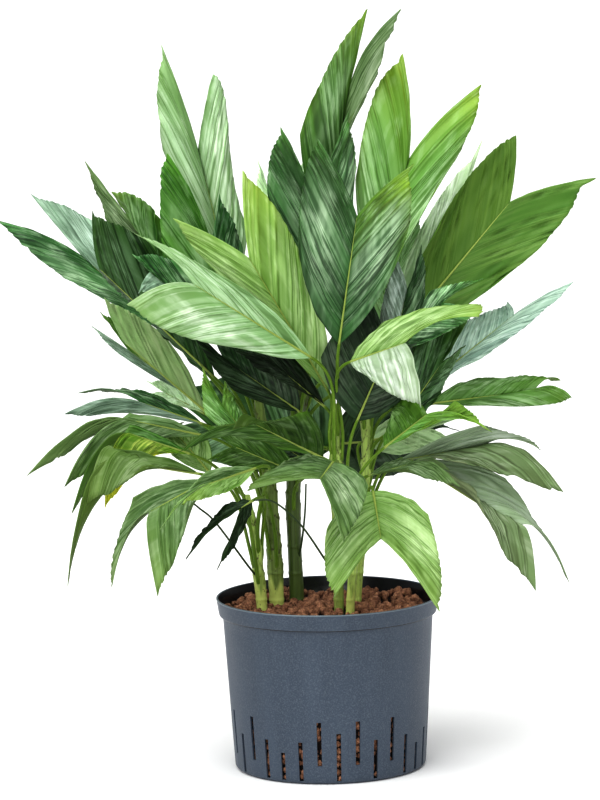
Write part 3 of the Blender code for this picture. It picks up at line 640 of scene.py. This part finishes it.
def lobe_shell(skin, side):
    """Closed thin shell: the skin moved out by half the blade on both faces, and a rim between."""
    normal = unit(np.cross(np.gradient(skin, axis=0), np.gradient(skin, axis=1))) * -side
    upper = skin + normal * BLADE / 2
    lower = skin - normal * BLADE / 2
    count = COLUMNS * ROWS
    top = np.arange(count).reshape(COLUMNS, ROWS)
    border = np.concatenate([top[0, :-1], top[:-1, -1], top[-1, :0:-1], top[:0:-1, 0]])
    quads = np.stack([top[:-1, :-1], top[1:, :-1], top[1:, 1:], top[:-1, 1:]], axis=-1).reshape(-1, 4)
    after = np.roll(border, -1)
    rim = np.stack([border, after, after + count, border + count], axis=-1)
    faces = np.concatenate([quads, quads[:, ::-1] + count, rim])
    if side > 0:
        faces = faces[:, ::-1]
    return np.concatenate([upper.reshape(-1, 3), lower.reshape(-1, 3)]), faces


def rod(path, across, widths, depths):
    """Closed rod along a path, its section an ellipse that is widest across; a fan closes each end."""
    ahead = unit(np.gradient(path, axis=0))
    wide = unit(across - ahead * np.sum(across * ahead, axis=-1, keepdims=True))
    deep = np.cross(ahead, wide)
    turns = np.arange(ROD_SIDES) * 2 * math.pi / ROD_SIDES
    ring = (path[:, None] + wide[:, None] * (np.cos(turns) * widths[:, None])[..., None]
            + deep[:, None] * (np.sin(turns) * depths[:, None])[..., None])
    lattice = np.arange(len(path) * ROD_SIDES).reshape(len(path), ROD_SIDES)
    points = np.concatenate([ring.reshape(-1, 3), path[:1], path[-1:]])
    faces = [ring_faces(lattice), fan_faces(len(points) - 2, lattice[0])[:, ::-1],
             fan_faces(len(points) - 1, lattice[-1])]
    return points, faces


def joint_of(name):
    """Where a frond's joint is on its cane: centre, radius, direction of the cane and the way out of it."""
    centre, radius, climb = cane_at(name[0], FRONDS[name][0] * MM)
    out = place(FRONDS[name][1:2])[0] - centre
    turn = math.atan2(out[1], out[0]) + math.radians(TURN.get(name, 0))
    return centre, radius, climb, np.array([math.cos(turn), math.sin(turn), 0.0])


def stalk_line(name, base, forward):
    """The stalk's path: out of the cane's side, up along it, then a cubic curve to the blade's base."""
    centre, radius, climb, away = joint_of(name)
    root = centre + away * (radius + STALK_OFF)
    reach = np.linalg.norm(base - root)
    first = root + unit(climb + away * STALK_LEAN) * reach * STALK_CLIMB
    second = base - forward * reach * STALK_ENTRY
    curve = bezier([root, first, second, base], np.linspace(0, 1, 22)[:, None])
    inside = centre + away * radius * 0.4 - climb * 0.022
    lead = bezier([inside, root - climb * 0.012, root], np.linspace(0, 1, 6)[:-1, None])
    side = np.array([-away[1], away[0], 0.0])
    return np.concatenate([lead, curve]), side


def attribute(tree, name):
    """Value of a point attribute of the mesh."""
    node = tree.nodes.new("ShaderNodeAttribute")
    node.attribute_name = name
    return node.outputs["Fac"]


def leaf_material(name, upper, deep, light, tip, under, gloss, shine):
    """Living leaf, painted on its UV map, U across the veins with one pleat to a unit and V along them.

    Fine streaks and broad clouds go from the upper colour to the deep one, and the folds are darkened with
    painted shade. Then come the yellowed tip, a painted sheen in pale patches, the lobe's painted highlight
    spot and the duller underside. All of it is multiplied by the tone, which may be above 1, so the factor of
    that mix isn't clamped.
    """
    material = plain_material(name, upper, gloss)
    tree = material.node_tree
    shader = tree.nodes["Principled BSDF"]
    shader.inputs["Specular IOR Level"].default_value = shine
    along = tree.nodes.new("ShaderNodeUVMap")
    along.uv_map = "leaf"
    split = tree.nodes.new("ShaderNodeSeparateXYZ")
    tree.links.new(along.outputs["UV"], split.inputs["Vector"])
    fine = ranged(tree, noise(tree, along.outputs["UV"], (5.5, 0.6, 1.0), 4.0), 0.40, 0.60)
    patches = ranged(tree, noise(tree, along.outputs["UV"], (1.1, 5.0, 1.0), 4.0), 0.50, 0.68)
    dashes = ranged(tree, noise(tree, along.outputs["UV"], (1.9, 4.2, 1.0), 3.0), 0.38, 0.62)
    broad = ranged(tree, noise(tree, along.outputs["UV"], (0.55, 1.3, 1.0), 2.0), 0.38, 0.62)
    vein = reckoned(tree, "PINGPONG", split.outputs["X"], 0.5)
    fold = ranged(tree, vein, 0.13, 0.02, 0.0, 1.0)
    shade = reckoned(tree, "MULTIPLY", reckoned(tree, "ADD", fine, broad), 0.5)
    flat = mixed(tree, upper, deep, shade)
    broken = ranged(tree, dashes, 0.0, 1.0, 0.35, 1.0)
    # Painted shade: the folds are darkened towards a darker copy of the deep colour, broken up by the dashes.
    streaked = mixed(tree, flat, tuple(c * 0.7 for c in deep), reckoned(tree, "MULTIPLY", fold, broken))
    worn = ranged(tree, fine, 0.0, 1.0, 1.0, 0.55)
    aged = mixed(tree, streaked, tip, reckoned(tree, "MULTIPLY", attribute(tree, "tip"), worn))
    dull = reckoned(tree, "ADD", reckoned(tree, "ADD", fine, dashes), reckoned(tree, "MULTIPLY", fold, 0.8))
    # Painted sheen: pale patches of the light colour, fewer where the blade is dull.
    sheen_share = ranged(tree, dull, 0.3, 1.6, 0.38, 0.04)
    painted_sheen = mixed(tree, aged, light, reckoned(tree, "MULTIPLY", patches, sheen_share))
    # Painted highlight: the lobe's shine spot mixes in the light colour.
    glint = ranged(tree, dull, 0.3, 1.6, 1.0, 0.15)
    lit = mixed(tree, painted_sheen, light, reckoned(tree, "MULTIPLY", attribute(tree, "shine"), glint))
    back = mixed(tree, under, deep, reckoned(tree, "MULTIPLY", shade, 0.6))
    sided = mixed(tree, lit, back, attribute(tree, "under"))
    toned = mixed(tree, (0.0, 0.0, 0.0), sided, attribute(tree, "tone"))
    toned.node.clamp_factor = False
    joined(tree, shader.inputs["Base Color"], toned)
    joined(tree, shader.inputs["Roughness"], ranged(tree, fine, 0.0, 1.0, gloss, gloss + 0.14))
    embossed(tree, reckoned(tree, "SUBTRACT", fine, fold), 0.0004, 0.45)
    return material


# The upper colour, the deep one between the veins, the light one where it shines, which is painted
# highlight and sheen, the tip's and the underside's, then the roughness and the strength of the gloss. A
# darker copy of the deep colour is the painted shade of the folds. "stem" is the skin of stalks and
# midribs. Mint, pearl and frost are pale partly as painted sheen, the soft light that the leaves reflect.
FINISHES = {
    "mint": ((0.34, 0.52, 0.28), (0.13, 0.27, 0.07), (0.80, 0.90, 0.74),
             (0.40, 0.52, 0.12), (0.26, 0.34, 0.17), 0.38, 0.3),
    "pale": ((0.32, 0.50, 0.17), (0.12, 0.26, 0.03), (0.66, 0.82, 0.48),
             (0.50, 0.58, 0.06), (0.22, 0.34, 0.08), 0.38, 0.3),
    "bright": ((0.22, 0.44, 0.12), (0.07, 0.21, 0.01), (0.56, 0.76, 0.46),
               (0.46, 0.54, 0.02), (0.18, 0.30, 0.05), 0.38, 0.25),
    "fresh": ((0.11, 0.29, 0.035), (0.022, 0.11, 0.004), (0.46, 0.66, 0.38),
              (0.34, 0.44, 0.02), (0.13, 0.23, 0.05), 0.38, 0.25),
    "deep": ((0.036, 0.110, 0.018), (0.003, 0.022, 0.002), (0.32, 0.48, 0.30),
             (0.12, 0.25, 0.01), (0.06, 0.11, 0.03), 0.36, 0.2),
    "blue": ((0.068, 0.210, 0.055), (0.004, 0.040, 0.005), (0.60, 0.78, 0.54),
             (0.26, 0.44, 0.02), (0.09, 0.15, 0.06), 0.32, 0.3),
    "grey": ((0.30, 0.42, 0.31), (0.11, 0.19, 0.12), (0.62, 0.74, 0.66),
             (0.20, 0.30, 0.14), (0.24, 0.32, 0.22), 0.42, 0.3),
    "olive": ((0.105, 0.230, 0.030), (0.026, 0.085, 0.004), (0.40, 0.56, 0.30),
              (0.18, 0.38, 0.01), (0.10, 0.18, 0.03), 0.44, 0.2),
    "stone": ((0.19, 0.29, 0.13), (0.08, 0.12, 0.04), (0.52, 0.58, 0.44),
              (0.24, 0.30, 0.12), (0.28, 0.34, 0.19), 0.44, 0.25),
    "pearl": ((0.46, 0.60, 0.40), (0.42, 0.58, 0.34), (0.86, 0.94, 0.84),
              (0.48, 0.58, 0.16), (0.30, 0.40, 0.22), 0.36, 0.3),
    "yellow": ((0.16, 0.32, 0.02), (0.05, 0.15, 0.01), (0.60, 0.66, 0.20),
               (0.62, 0.64, 0.05), (0.30, 0.34, 0.04), 0.45, 0.2),
    "sage": ((0.21, 0.34, 0.135), (0.05, 0.13, 0.02), (0.60, 0.72, 0.50),
             (0.30, 0.42, 0.05), (0.18, 0.27, 0.10), 0.42, 0.25),
    "frost": ((0.43, 0.56, 0.46), (0.14, 0.24, 0.18), (0.78, 0.88, 0.84),
              (0.30, 0.42, 0.22), (0.28, 0.38, 0.30), 0.38, 0.3),
    "stem": ((0.24, 0.38, 0.05), (0.11, 0.22, 0.015), (0.40, 0.52, 0.14),
             (0.55, 0.62, 0.20), (0.24, 0.36, 0.05), 0.40, 0.25),
}

# How far the tips of the lobes are drawn out, in mm.
TAILS = {"f2": (18, 2), "f3": (22, 4), "e1": (4, 10), "a1": (10, 1), "a3": (6, 3), "a10": (6, 28),
         "f8": (4, 2), "e8": (4, 2), "f10": (2, 8), "c4": (4, 3)}

# How full the margin of a lobe is, in shares of its chord: how far off it the first control point stands,
# then how far along and off it the second one does. One near the tip or past it makes a blunt tip.
SHOULDER = 0.34
PLAIN = (0.075, 0.80, 0.10)
SHAPES = {
    "a1": (PLAIN, (-0.10, 1.00, 0.17)), "a2": ((0.07, 0.98, 0.18), PLAIN), "a3": (PLAIN, (0.34, 0.85, 0.44)),
    "a4": ((0.10, 0.95, 0.16), (0.06, 0.92, 0.07)), "b2": ((0.12, 0.85, 0.16), PLAIN),
    "b3": [(0.10, 0.95, 0.20)], "d1": ((0.09, 0.82, 0.16), (0.12, 0.85, 0.20)),
    "e1": ((0.09, 0.90, 0.13), (0.10, 0.80, 0.12)), "e2": (PLAIN, (0.10, 0.80, 0.14)),
    "e3": ((0.09, 0.84, 0.16), (0.03, 0.97, 0.08)), "e4": ((0.14, 1.40, 0.36), PLAIN),
    "e7": ((0.12, 0.60, 0.14), (0.06, 0.85, 0.10)),
    "a10": ((0.05, 0.80, 0.08), (0.01, 0.70, 0.03)), "f10": ((0.06, 0.97, 0.17), (0.02, 0.80, 0.03)),
    "e8": (PLAIN, (0.10, 0.95, 0.18)), "f8": (PLAIN, (0.09, 0.95, 0.12)), "c4": (PLAIN, (0.10, 0.92, 0.16)),
    "f1": ((0.11, 0.80, 0.19), (0.10, 0.86, 0.18)), "f2": ((0.09, 0.86, 0.14), (0.09, 0.84, 0.14)),
}

# Lobes whose veins lean more at the midrib's end, and fronds that are more or less crumpled than 0.5.
LEANS = {"e4": (0.7, INNER_LEAN)}
RIPPLE = {"e1": 1.0, "b2": 0.8, "a5": 0.7, "f1": 0.35, "f2": 0.8, "e3": 0.4, "b1": 0.25}

# Where a painted highlight lies on a lobe's colour: the u and v of the spot, its reach in both, and its
# strength.
SHINES = {
    "f1": ((0.05, 0.55, 0.36, 0.80, 0.9), (0.12, 0.55, 0.28, 0.60, 1.0)),
    "f2": ((0.45, 0.45, 0.25, 0.25, 0.5), (0.30, 0.40, 0.20, 0.30, 0.35)),
    "e1": ((0.45, 0.55, 0.30, 0.30, 0.9), (0.50, 0.55, 0.30, 0.40, 0.9)),
    "e3": ((0.45, 0.60, 0.50, 0.30, 0.8), (0.60, 0.50, 0.40, 0.50, 0.5)),
    "e4": ((0.40, 0.45, 0.45, 0.40, 1.0), (0.50, 0.60, 0.70, 0.80, 1.0)),
    "f4": ((0.60, 0.50, 0.50, 0.60, 1.0), (0.50, 0.50, 0.30, 0.40, 0.4)),
    "a1": ((0.30, 0.50, 0.30, 0.50, 0.4), (0.55, 0.50, 0.40, 0.50, 0.7)),
    "d1": ((0.50, 0.70, 0.40, 0.40, 0.7), (0.40, 0.60, 0.40, 0.40, 0.5)),
}
LEAVES = {name: leaf_material("leaf " + name, *finish) for name, finish in FINISHES.items()}


def shine_over(name, side, u, v):
    """Painted highlight: strength * exp(-((u - u0) / ru)^2 - ((v - v0) / rv)^2) of the lobe's spot, or of one
    set by chance.
    """
    chance = np.random.default_rng([ord(c) for c in name] + [side + 5])
    spot = (chance.uniform(0.15, 0.7), chance.uniform(0.3, 0.8), 0.28, 0.4, chance.uniform(0.3, 0.9))
    u0, v0, ru, rv, strength = lobe_row(SHINES, name, side, spot)
    return strength * np.exp(-((u - u0) / ru) ** 2 - ((v - v0) / rv) ** 2)


def lobe_fields(name, side, phase):
    """U, V, tip, under, shine and tone of a lobe's points, for its upper face and then its lower one.

    The tip yellows as eased(u) * (0.35 + 0.65 v) + 0.5 v^6, or as a band of v where the outer part is yellow.
    """
    u, v = np.meshgrid(np.linspace(0, 1, COLUMNS), np.linspace(0, 1, ROWS), indexing="ij")
    _, tone, yellowed = lobe_row(LOOKS, name, side)
    aged = yellowed * eased(u, 0.45, 1.0) * (0.35 + 0.65 * v) + 0.5 * yellowed * v ** 6
    if yellowed > 1:
        aged = eased(v, 0.40, 0.55)
    shine = shine_over(name, side, u, v)
    upper = np.stack([phase, v, np.clip(aged, 0, 1), 0 * u, shine, tone + 0 * u], axis=-1)
    fields = np.tile(upper.reshape(-1, 6), (2, 1))
    fields[COLUMNS * ROWS:, 3] = 1.0
    return fields


def stalk_and_rib(name, base, split, across):
    """One rod up the stalk and on along the midrib, thinner all the way, and the fields of its points."""
    forward = unit(split - base)
    way, side = stalk_line(name, base, forward)
    if np.dot(side, across) < 0:
        side = -side
    rib = base + (split - base) * np.linspace(0.03, 0.985, 16)[:, None] + np.cross(across, forward) * 0.0001
    path = np.concatenate([way, rib])
    share = np.concatenate([np.linspace(0, 1, len(way)), np.ones(len(rib))])[:, None]
    out, on = np.linspace(0, 1, len(way)), np.linspace(0, 1, len(rib))
    widths = np.concatenate([0.0027 - 0.0010 * out, 0.0016 - 0.0012 * on])
    depths = np.concatenate([0.0021 - 0.0006 * out, 0.0014 - 0.0010 * on])
    shell, groups = rod(path, side * (1 - share) + across * share, widths, depths)
    fields = np.zeros((len(shell), 6))
    fields[:-2, 0] = np.tile(np.arange(ROD_SIDES), len(path)) + 50
    fields[:-2, 1] = np.repeat(np.linspace(0, 6, len(path)), ROD_SIDES)
    fields[len(way) * ROD_SIDES:, 2] = 0.7
    fields[:, 5] = 0.9
    return shell, groups, fields


def make_frond(name):
    """Both lobes, and one rod for the stalk and the midrib, in a single piece."""
    base, split, tip_left, corner_left, tip_right, corner_right = place(FRONDS[name][1:])
    forward = unit(split - base)
    points, faces, fields, worn = [], [], [], []
    for number, (tip, corner, side) in enumerate(((tip_left, corner_left, -1), (tip_right, corner_right, 1))):
        skin, phase = lobe_surface(name, base, split, tip, corner, side)
        shell, quads = lobe_shell(skin, side)
        points.append(shell)
        faces.append(quads + number * len(shell))
        fields.append(lobe_fields(name, side, phase + 20 * number))
        worn += [number] * len(quads)
    across = unit((corner_right - corner_left) - forward * np.dot(corner_right - corner_left, forward))
    shell, groups, field = stalk_and_rib(name, base, split, across)
    for group in groups:
        faces.append(group + sum(len(lobe) for lobe in points))
        worn += [2] * len(group)
    points = np.concatenate([*points, shell])
    fields = np.concatenate([*fields, field])
    left, right = (LEAVES[lobe_row(LOOKS, name, side)[0]] for side in (-1, 1))
    piece = new_piece("leaf_" + name, points, faces, left, "frond", "frond_" + name)
    mesh = piece.data
    mesh.materials.append(right)
    mesh.materials.append(LEAVES["stem"])
    mesh.polygons.foreach_set("material_index", worn)
    corner_of = np.empty(len(mesh.loops), int)
    mesh.loops.foreach_get("vertex_index", corner_of)
    mesh.uv_layers.new(name="leaf").data.foreach_set("uv", fields[corner_of, :2].ravel())
    for column, field_name in enumerate(("tip", "under", "shine", "tone"), start=2):
        mesh.attributes.new(field_name, "FLOAT", "POINT").data.foreach_set("value", fields[:, column].copy())


for frond in FRONDS:
    make_frond(frond)

# Canes
# Seven living canes, grown in rings and wrapped in the sheaths of their fronds. Each sheath ends in a
# slanting mouth with a thin brown edge, low at the side away from its frond.
CANE_SIDES = 32
CANE_STEP = 0.0012
MOUTH_DROP = 0.026
RING_STEP = 0.031
THICKEST_SHEATH = 0.0032
PALE_FOOT = 0.206

# A cane's tone, from 0, dark, to 1, pale, then how pale its foot is and how thick its sheaths are in mm.
# Tones are partly painted light: some are set paler than the skin's own colour to make up for the shade of
# the leaves above.
CANE_LOOKS = {"a": (0.42, 0.9, 1.0), "b": (0.13, 0.0, 1.2), "c": (1.0, 1.0, 1.0), "d": (1.0, 1.0, 0.8),
              "e": (0.6, 0.2, 2.0), "f": (0.85, 0.3, 1.2), "g": (0.15, 0.0, 0.8)}


def cane_material():
    """Green skin between dark and pale by a tone, with streaks along it, brown mouth edges and specks."""
    material = plain_material("cane skin", (0.1, 0.2, 0.02), 0.42)
    tree = material.node_tree
    shader = tree.nodes["Principled BSDF"]
    where = tree.nodes.new("ShaderNodeTexCoord").outputs["Object"]
    streaks = ranged(tree, noise(tree, where, (420.0, 420.0, 26.0), 4.0), 0.3, 0.7)
    patches = ranged(tree, noise(tree, where, (60.0, 60.0, 22.0), 3.0), 0.4, 0.7)
    specks = ranged(tree, noise(tree, where, (300.0, 300.0, 240.0), 2.0), 0.66, 0.72, 0.0, 0.7)
    skin = mixed(tree, (0.034, 0.080, 0.008), (0.62, 0.82, 0.22), attribute(tree, "tone"))
    dark = mixed(tree, skin, (0.012, 0.026, 0.006), reckoned(tree, "MULTIPLY", streaks, 0.55))
    worn = mixed(tree, dark, (0.10, 0.12, 0.03), reckoned(tree, "MULTIPLY", patches, 0.2))
    pale = mixed(tree, worn, (0.66, 0.76, 0.24), attribute(tree, "pale"))
    dotted = mixed(tree, pale, (0.05, 0.030, 0.010), specks)
    edged = mixed(tree, dotted, (0.045, 0.022, 0.010), attribute(tree, "mouth"))
    joined(tree, shader.inputs["Base Color"], edged)
    embossed(tree, streaks, 0.0004, 0.4)
    return material


def make_cane(letter):
    """Tube round a cane's way, stepping in above the mouth of each sheath.

    The mouth of a frond's sheath stands at its joint on the frond's side and MOUTH_DROP lower on the other:
    mouth = joint + 3 mm - MOUTH_DROP (1 - cos(turn - frond's turn)) / 2. Below it the skin stands out by
    sheath exp(-depth / 24 mm), above it not at all. Growth rings are narrow ridges every RING_STEP.
    """
    tone, foot, sheath = CANE_LOOKS[letter]
    low, high = cane_way(letter)[[0, -1], 2]
    heights = np.append(np.arange(low, high, CANE_STEP), high)
    centre, radius, _ = cane_at(letter, heights)
    turns = np.arange(CANE_SIDES) * 2 * math.pi / CANE_SIDES
    levels = heights[:, None]
    out = np.zeros((len(heights), CANE_SIDES))
    edge = np.zeros_like(out)
    for name in FRONDS:
        if name[0] != letter:
            continue
        joint, _, _, away = joint_of(name)
        swing = np.cos(turns - math.atan2(away[1], away[0]))
        jagged = 0.0012 * np.sin(5 * turns + joint[2] * 900) + 0.0008 * np.sin(11 * turns)
        depth = joint[2] + 0.003 + jagged - MOUTH_DROP * (1 - swing) / 2 - levels
        out += np.where(depth > 0, sheath * MM * np.exp(-np.abs(depth) / 0.024), 0)
        edge = np.maximum(edge, np.exp(-(depth / 0.0011) ** 2) * eased(-swing, -0.9, 0.2))
    out = np.minimum(out, THICKEST_SHEATH)
    rings = ((levels - low) / RING_STEP) % 1.0
    out += 0.0005 * np.exp(-((rings - 0.5) * RING_STEP / 0.0016) ** 2)
    reach = radius[:, None] + out
    shell = centre[:, None] + np.stack([reach * np.cos(turns), reach * np.sin(turns), 0 * out], axis=-1)
    points = np.concatenate([shell.reshape(-1, 3), centre[:1], centre[-1:]])
    lattice = np.arange(out.size).reshape(out.shape)
    faces = [ring_faces(lattice), fan_faces(out.size, lattice[0])[:, ::-1],
             fan_faces(out.size + 1, lattice[-1])]
    piece = new_piece("stem_" + letter, points, faces, CANE_SKIN, "cane", "cane_" + letter)
    wander = 0.006 * np.sin(2 * turns + 1) + 0.004 * np.sin(5 * turns)
    pale = foot * eased(PALE_FOOT + wander - levels, -0.004, 0.006)
    for field_name, values in (("mouth", edge * 0.9), ("pale", pale), ("tone", tone + 0 * out)):
        field = np.concatenate([values.ravel(), values[0, :1], values[-1, :1]])
        piece.data.attributes.new(field_name, "FLOAT", "POINT").data.foreach_set("value", field)


CANE_SKIN = cane_material()
for cane in CANES:
    make_cane(cane)

# Thin stalks
# Three thin dark stalks near the foot: one from the young cane to its low frond, one that arches from the
# tall front cane over to the small frond at the left, and a bare one beside the second cane.
THIN_STALKS = {
    "left": [(262, 582, 8), (249, 567, -8), (216, 523, -60), (199, 508, -92), (186, 498, -112)],
    "arch": [(338, 580, -26), (324, 558, -36), (300, 524, -58), (274, 502, -76), (254, 500, -80)],
    "bare": [(298, 562, 44), (302, 540, 33), (305, 512, 26), (306, 484, 24)],
}


def make_thin_stalk(name):
    """A rod along the smooth way through the places, from inside its cane, thinner towards its end."""
    way = smooth_way(place(THIN_STALKS[name]), 10)
    thick = np.linspace(0.0013, 0.0009, len(way))
    points, faces = rod(way, np.tile([0.0, 1.0, 0.0], (len(way), 1)), thick, thick)
    new_piece("thin_stalk_" + name, points, faces, STALK_SKIN, "frond")


STALK_SKIN = plain_material("thin stalk skin", (0.035, 0.065, 0.018), 0.5)
for thin_stalk in THIN_STALKS:
    make_thin_stalk(thin_stalk)

# Granules
# The pot is filled with fired-clay granules, rough reddish-brown lumps of 6 to 14 mm that lie loose on each
# other. They show on top of the bed, round the canes, and behind the drain slots.
BED_FOOT, BED_TOP = 0.0034, 0.1745
BED_FOOT_RADIUS, BED_TOP_RADIUS = 0.1005, 0.1145
BED_SIDES = 64
LUMP_STEP = 0.0098
LUMP_SIDES, LUMP_RINGS = 8, 4
LOWEST_LUMP = 0.0036


def granule_material(name, low, high):
    """Rough fired clay, its colour wandering from lump to lump, and darkened in its pores by painted shade.
    """
    material = plain_material(name, high, 0.9)
    tree = material.node_tree
    where = tree.nodes.new("ShaderNodeTexCoord").outputs["Object"]
    lumps = ranged(tree, noise(tree, where, (110.0, 110.0, 110.0), 2.0), 0.35, 0.65)
    pores = ranged(tree, noise(tree, where, (700.0, 700.0, 700.0), 3.0), 0.35, 0.7)
    clay = mixed(tree, low, high, lumps)
    # Painted shade: the pores are darkened towards a darker copy of the low colour.
    pore_shaded = mixed(tree, clay, tuple(c * 0.3 for c in low), reckoned(tree, "MULTIPLY", pores, 0.6))
    joined(tree, tree.nodes["Principled BSDF"].inputs["Base Color"], pore_shaded)
    embossed(tree, pores, 0.0016, 0.9)
    return material


def lump_shells(centres, sizes, chance):
    """Closed lumps: small spheres whose points are moved in or out by chance, and which are stretched.

    A lump's points are its centre + size * stretch * direction * (0.78 to 1.2).
    """
    polar = (np.arange(LUMP_RINGS) + 1) * math.pi / (LUMP_RINGS + 1)
    turns = np.arange(LUMP_SIDES) * 2 * math.pi / LUMP_SIDES
    ball = turned_points(np.sin(polar), np.cos(polar), turns).reshape(-1, 3)
    ball = np.concatenate([ball, [[0, 0, 1], [0, 0, -1]]])
    lattice = np.arange(LUMP_RINGS * LUMP_SIDES).reshape(LUMP_RINGS, LUMP_SIDES)
    caps = [fan_faces(len(ball) - 2, lattice[0]), fan_faces(len(ball) - 1, lattice[-1])[:, ::-1]]
    count = len(centres)
    rough = chance.uniform(0.78, 1.2, (count, len(ball), 1))
    stretch = chance.uniform(0.75, 1.15, (count, 1, 3))
    spin = chance.uniform(0, 2 * math.pi, count)
    points = ball * rough * stretch * sizes[:, None, None]
    x, y = points[..., 0].copy(), points[..., 1].copy()
    points[..., 0] = x * np.cos(spin)[:, None] - y * np.sin(spin)[:, None]
    points[..., 1] = x * np.sin(spin)[:, None] + y * np.cos(spin)[:, None]
    points += centres[:, None]
    points[..., 2] = np.maximum(points[..., 2], LOWEST_LUMP)
    offsets = np.arange(count)[:, None, None] * len(ball)
    faces = [(part + offsets).reshape(-1, part.shape[1]) for part in (ring_faces(lattice)[:, ::-1], *caps)]
    return points.reshape(-1, 3), faces


def make_granules():
    """A dark closed body for the bed, with lumps on a jittered lattice on top and behind the slots.

    The lumps on top stand clear of the canes and the pot's wall, and no point of a lump passes into the wall.
    """
    chance = np.random.default_rng(21)
    rows = np.arange(-16, 17)
    grid = np.stack(np.meshgrid(rows, rows), axis=-1).reshape(-1, 2).astype(float)
    spots = np.stack([grid[:, 0] + 0.5 * (grid[:, 1] % 2), grid[:, 1] * 0.866], axis=-1) * LUMP_STEP
    spots = spots + chance.uniform(-0.3, 0.3, spots.shape) * LUMP_STEP
    sizes = 0.0033 + 0.0038 * chance.uniform(0, 1, len(spots)) ** 1.8
    near = np.hypot(*spots.T) < THROAT_RADIUS - 0.0015 - sizes
    for letter in CANES:
        centre, radius, _ = cane_at(letter, 0.180)
        near &= np.hypot(spots[:, 0] - centre[0], spots[:, 1] - centre[1]) > radius + sizes * 0.6
    spots, sizes = spots[near], sizes[near]
    wave = 0.003 * np.sin(spots[:, 0] * 40 + 1) * np.cos(spots[:, 1] * 33)
    levels = BED_TOP + 0.0012 + wave + chance.uniform(0, 0.006, len(spots))
    top = np.column_stack([spots, levels])
    circle = np.linspace(0, 2 * math.pi, 84, endpoint=False)
    turns, heights = np.meshgrid(circle, np.arange(0.007, 0.076, 0.0078))
    turns = (turns + chance.uniform(-0.025, 0.025, turns.shape)).ravel()
    heights = (heights + chance.uniform(-0.002, 0.002, heights.shape)).ravel()
    bits = chance.uniform(0.0032, 0.0052, len(turns))
    reach = pot_inside(heights) - bits * 1.1
    behind = np.column_stack([reach * np.cos(turns), reach * np.sin(turns), heights])
    points, faces = lump_shells(np.concatenate([top, behind]), np.concatenate([sizes, bits]), chance)
    lumps = sum(len(group) for group in faces)
    reach = np.hypot(points[:, 0], points[:, 1])
    wall = np.where(points[:, 2] > BAND_FOOT, THROAT_RADIUS, pot_inside(points[:, 2])) - 0.0004
    points[:, :2] *= (np.minimum(reach, wall) / np.maximum(reach, 1e-6))[:, None]
    circle = np.linspace(0, 2 * math.pi, BED_SIDES, endpoint=False)
    body = turned_points([BED_FOOT_RADIUS, BED_TOP_RADIUS], [BED_FOOT, BED_TOP], circle).reshape(-1, 3)
    lattice = np.arange(2 * BED_SIDES).reshape(2, BED_SIDES) + len(points)
    middle = len(points) + 2 * BED_SIDES
    faces += [ring_faces(lattice), fan_faces(middle, lattice[0])[:, ::-1], fan_faces(middle + 1, lattice[1])]
    points = np.concatenate([points, body, [[0, 0, BED_FOOT], [0, 0, BED_TOP]]])
    clay = granule_material("granule clay", (0.26, 0.115, 0.062), (0.72, 0.38, 0.23))
    # The bed's body is painted shade: near black, it shows in the gaps between the lumps.
    shade = granule_material("granule shade", (0.016, 0.007, 0.004), (0.035, 0.014, 0.008))
    piece = new_piece("granule_bed", points, faces, clay, "granules", "granules")
    piece.data.materials.append(shade)
    which = (np.arange(len(piece.data.polygons)) >= lumps).astype(int)
    piece.data.polygons.foreach_set("material_index", which)


make_granules()
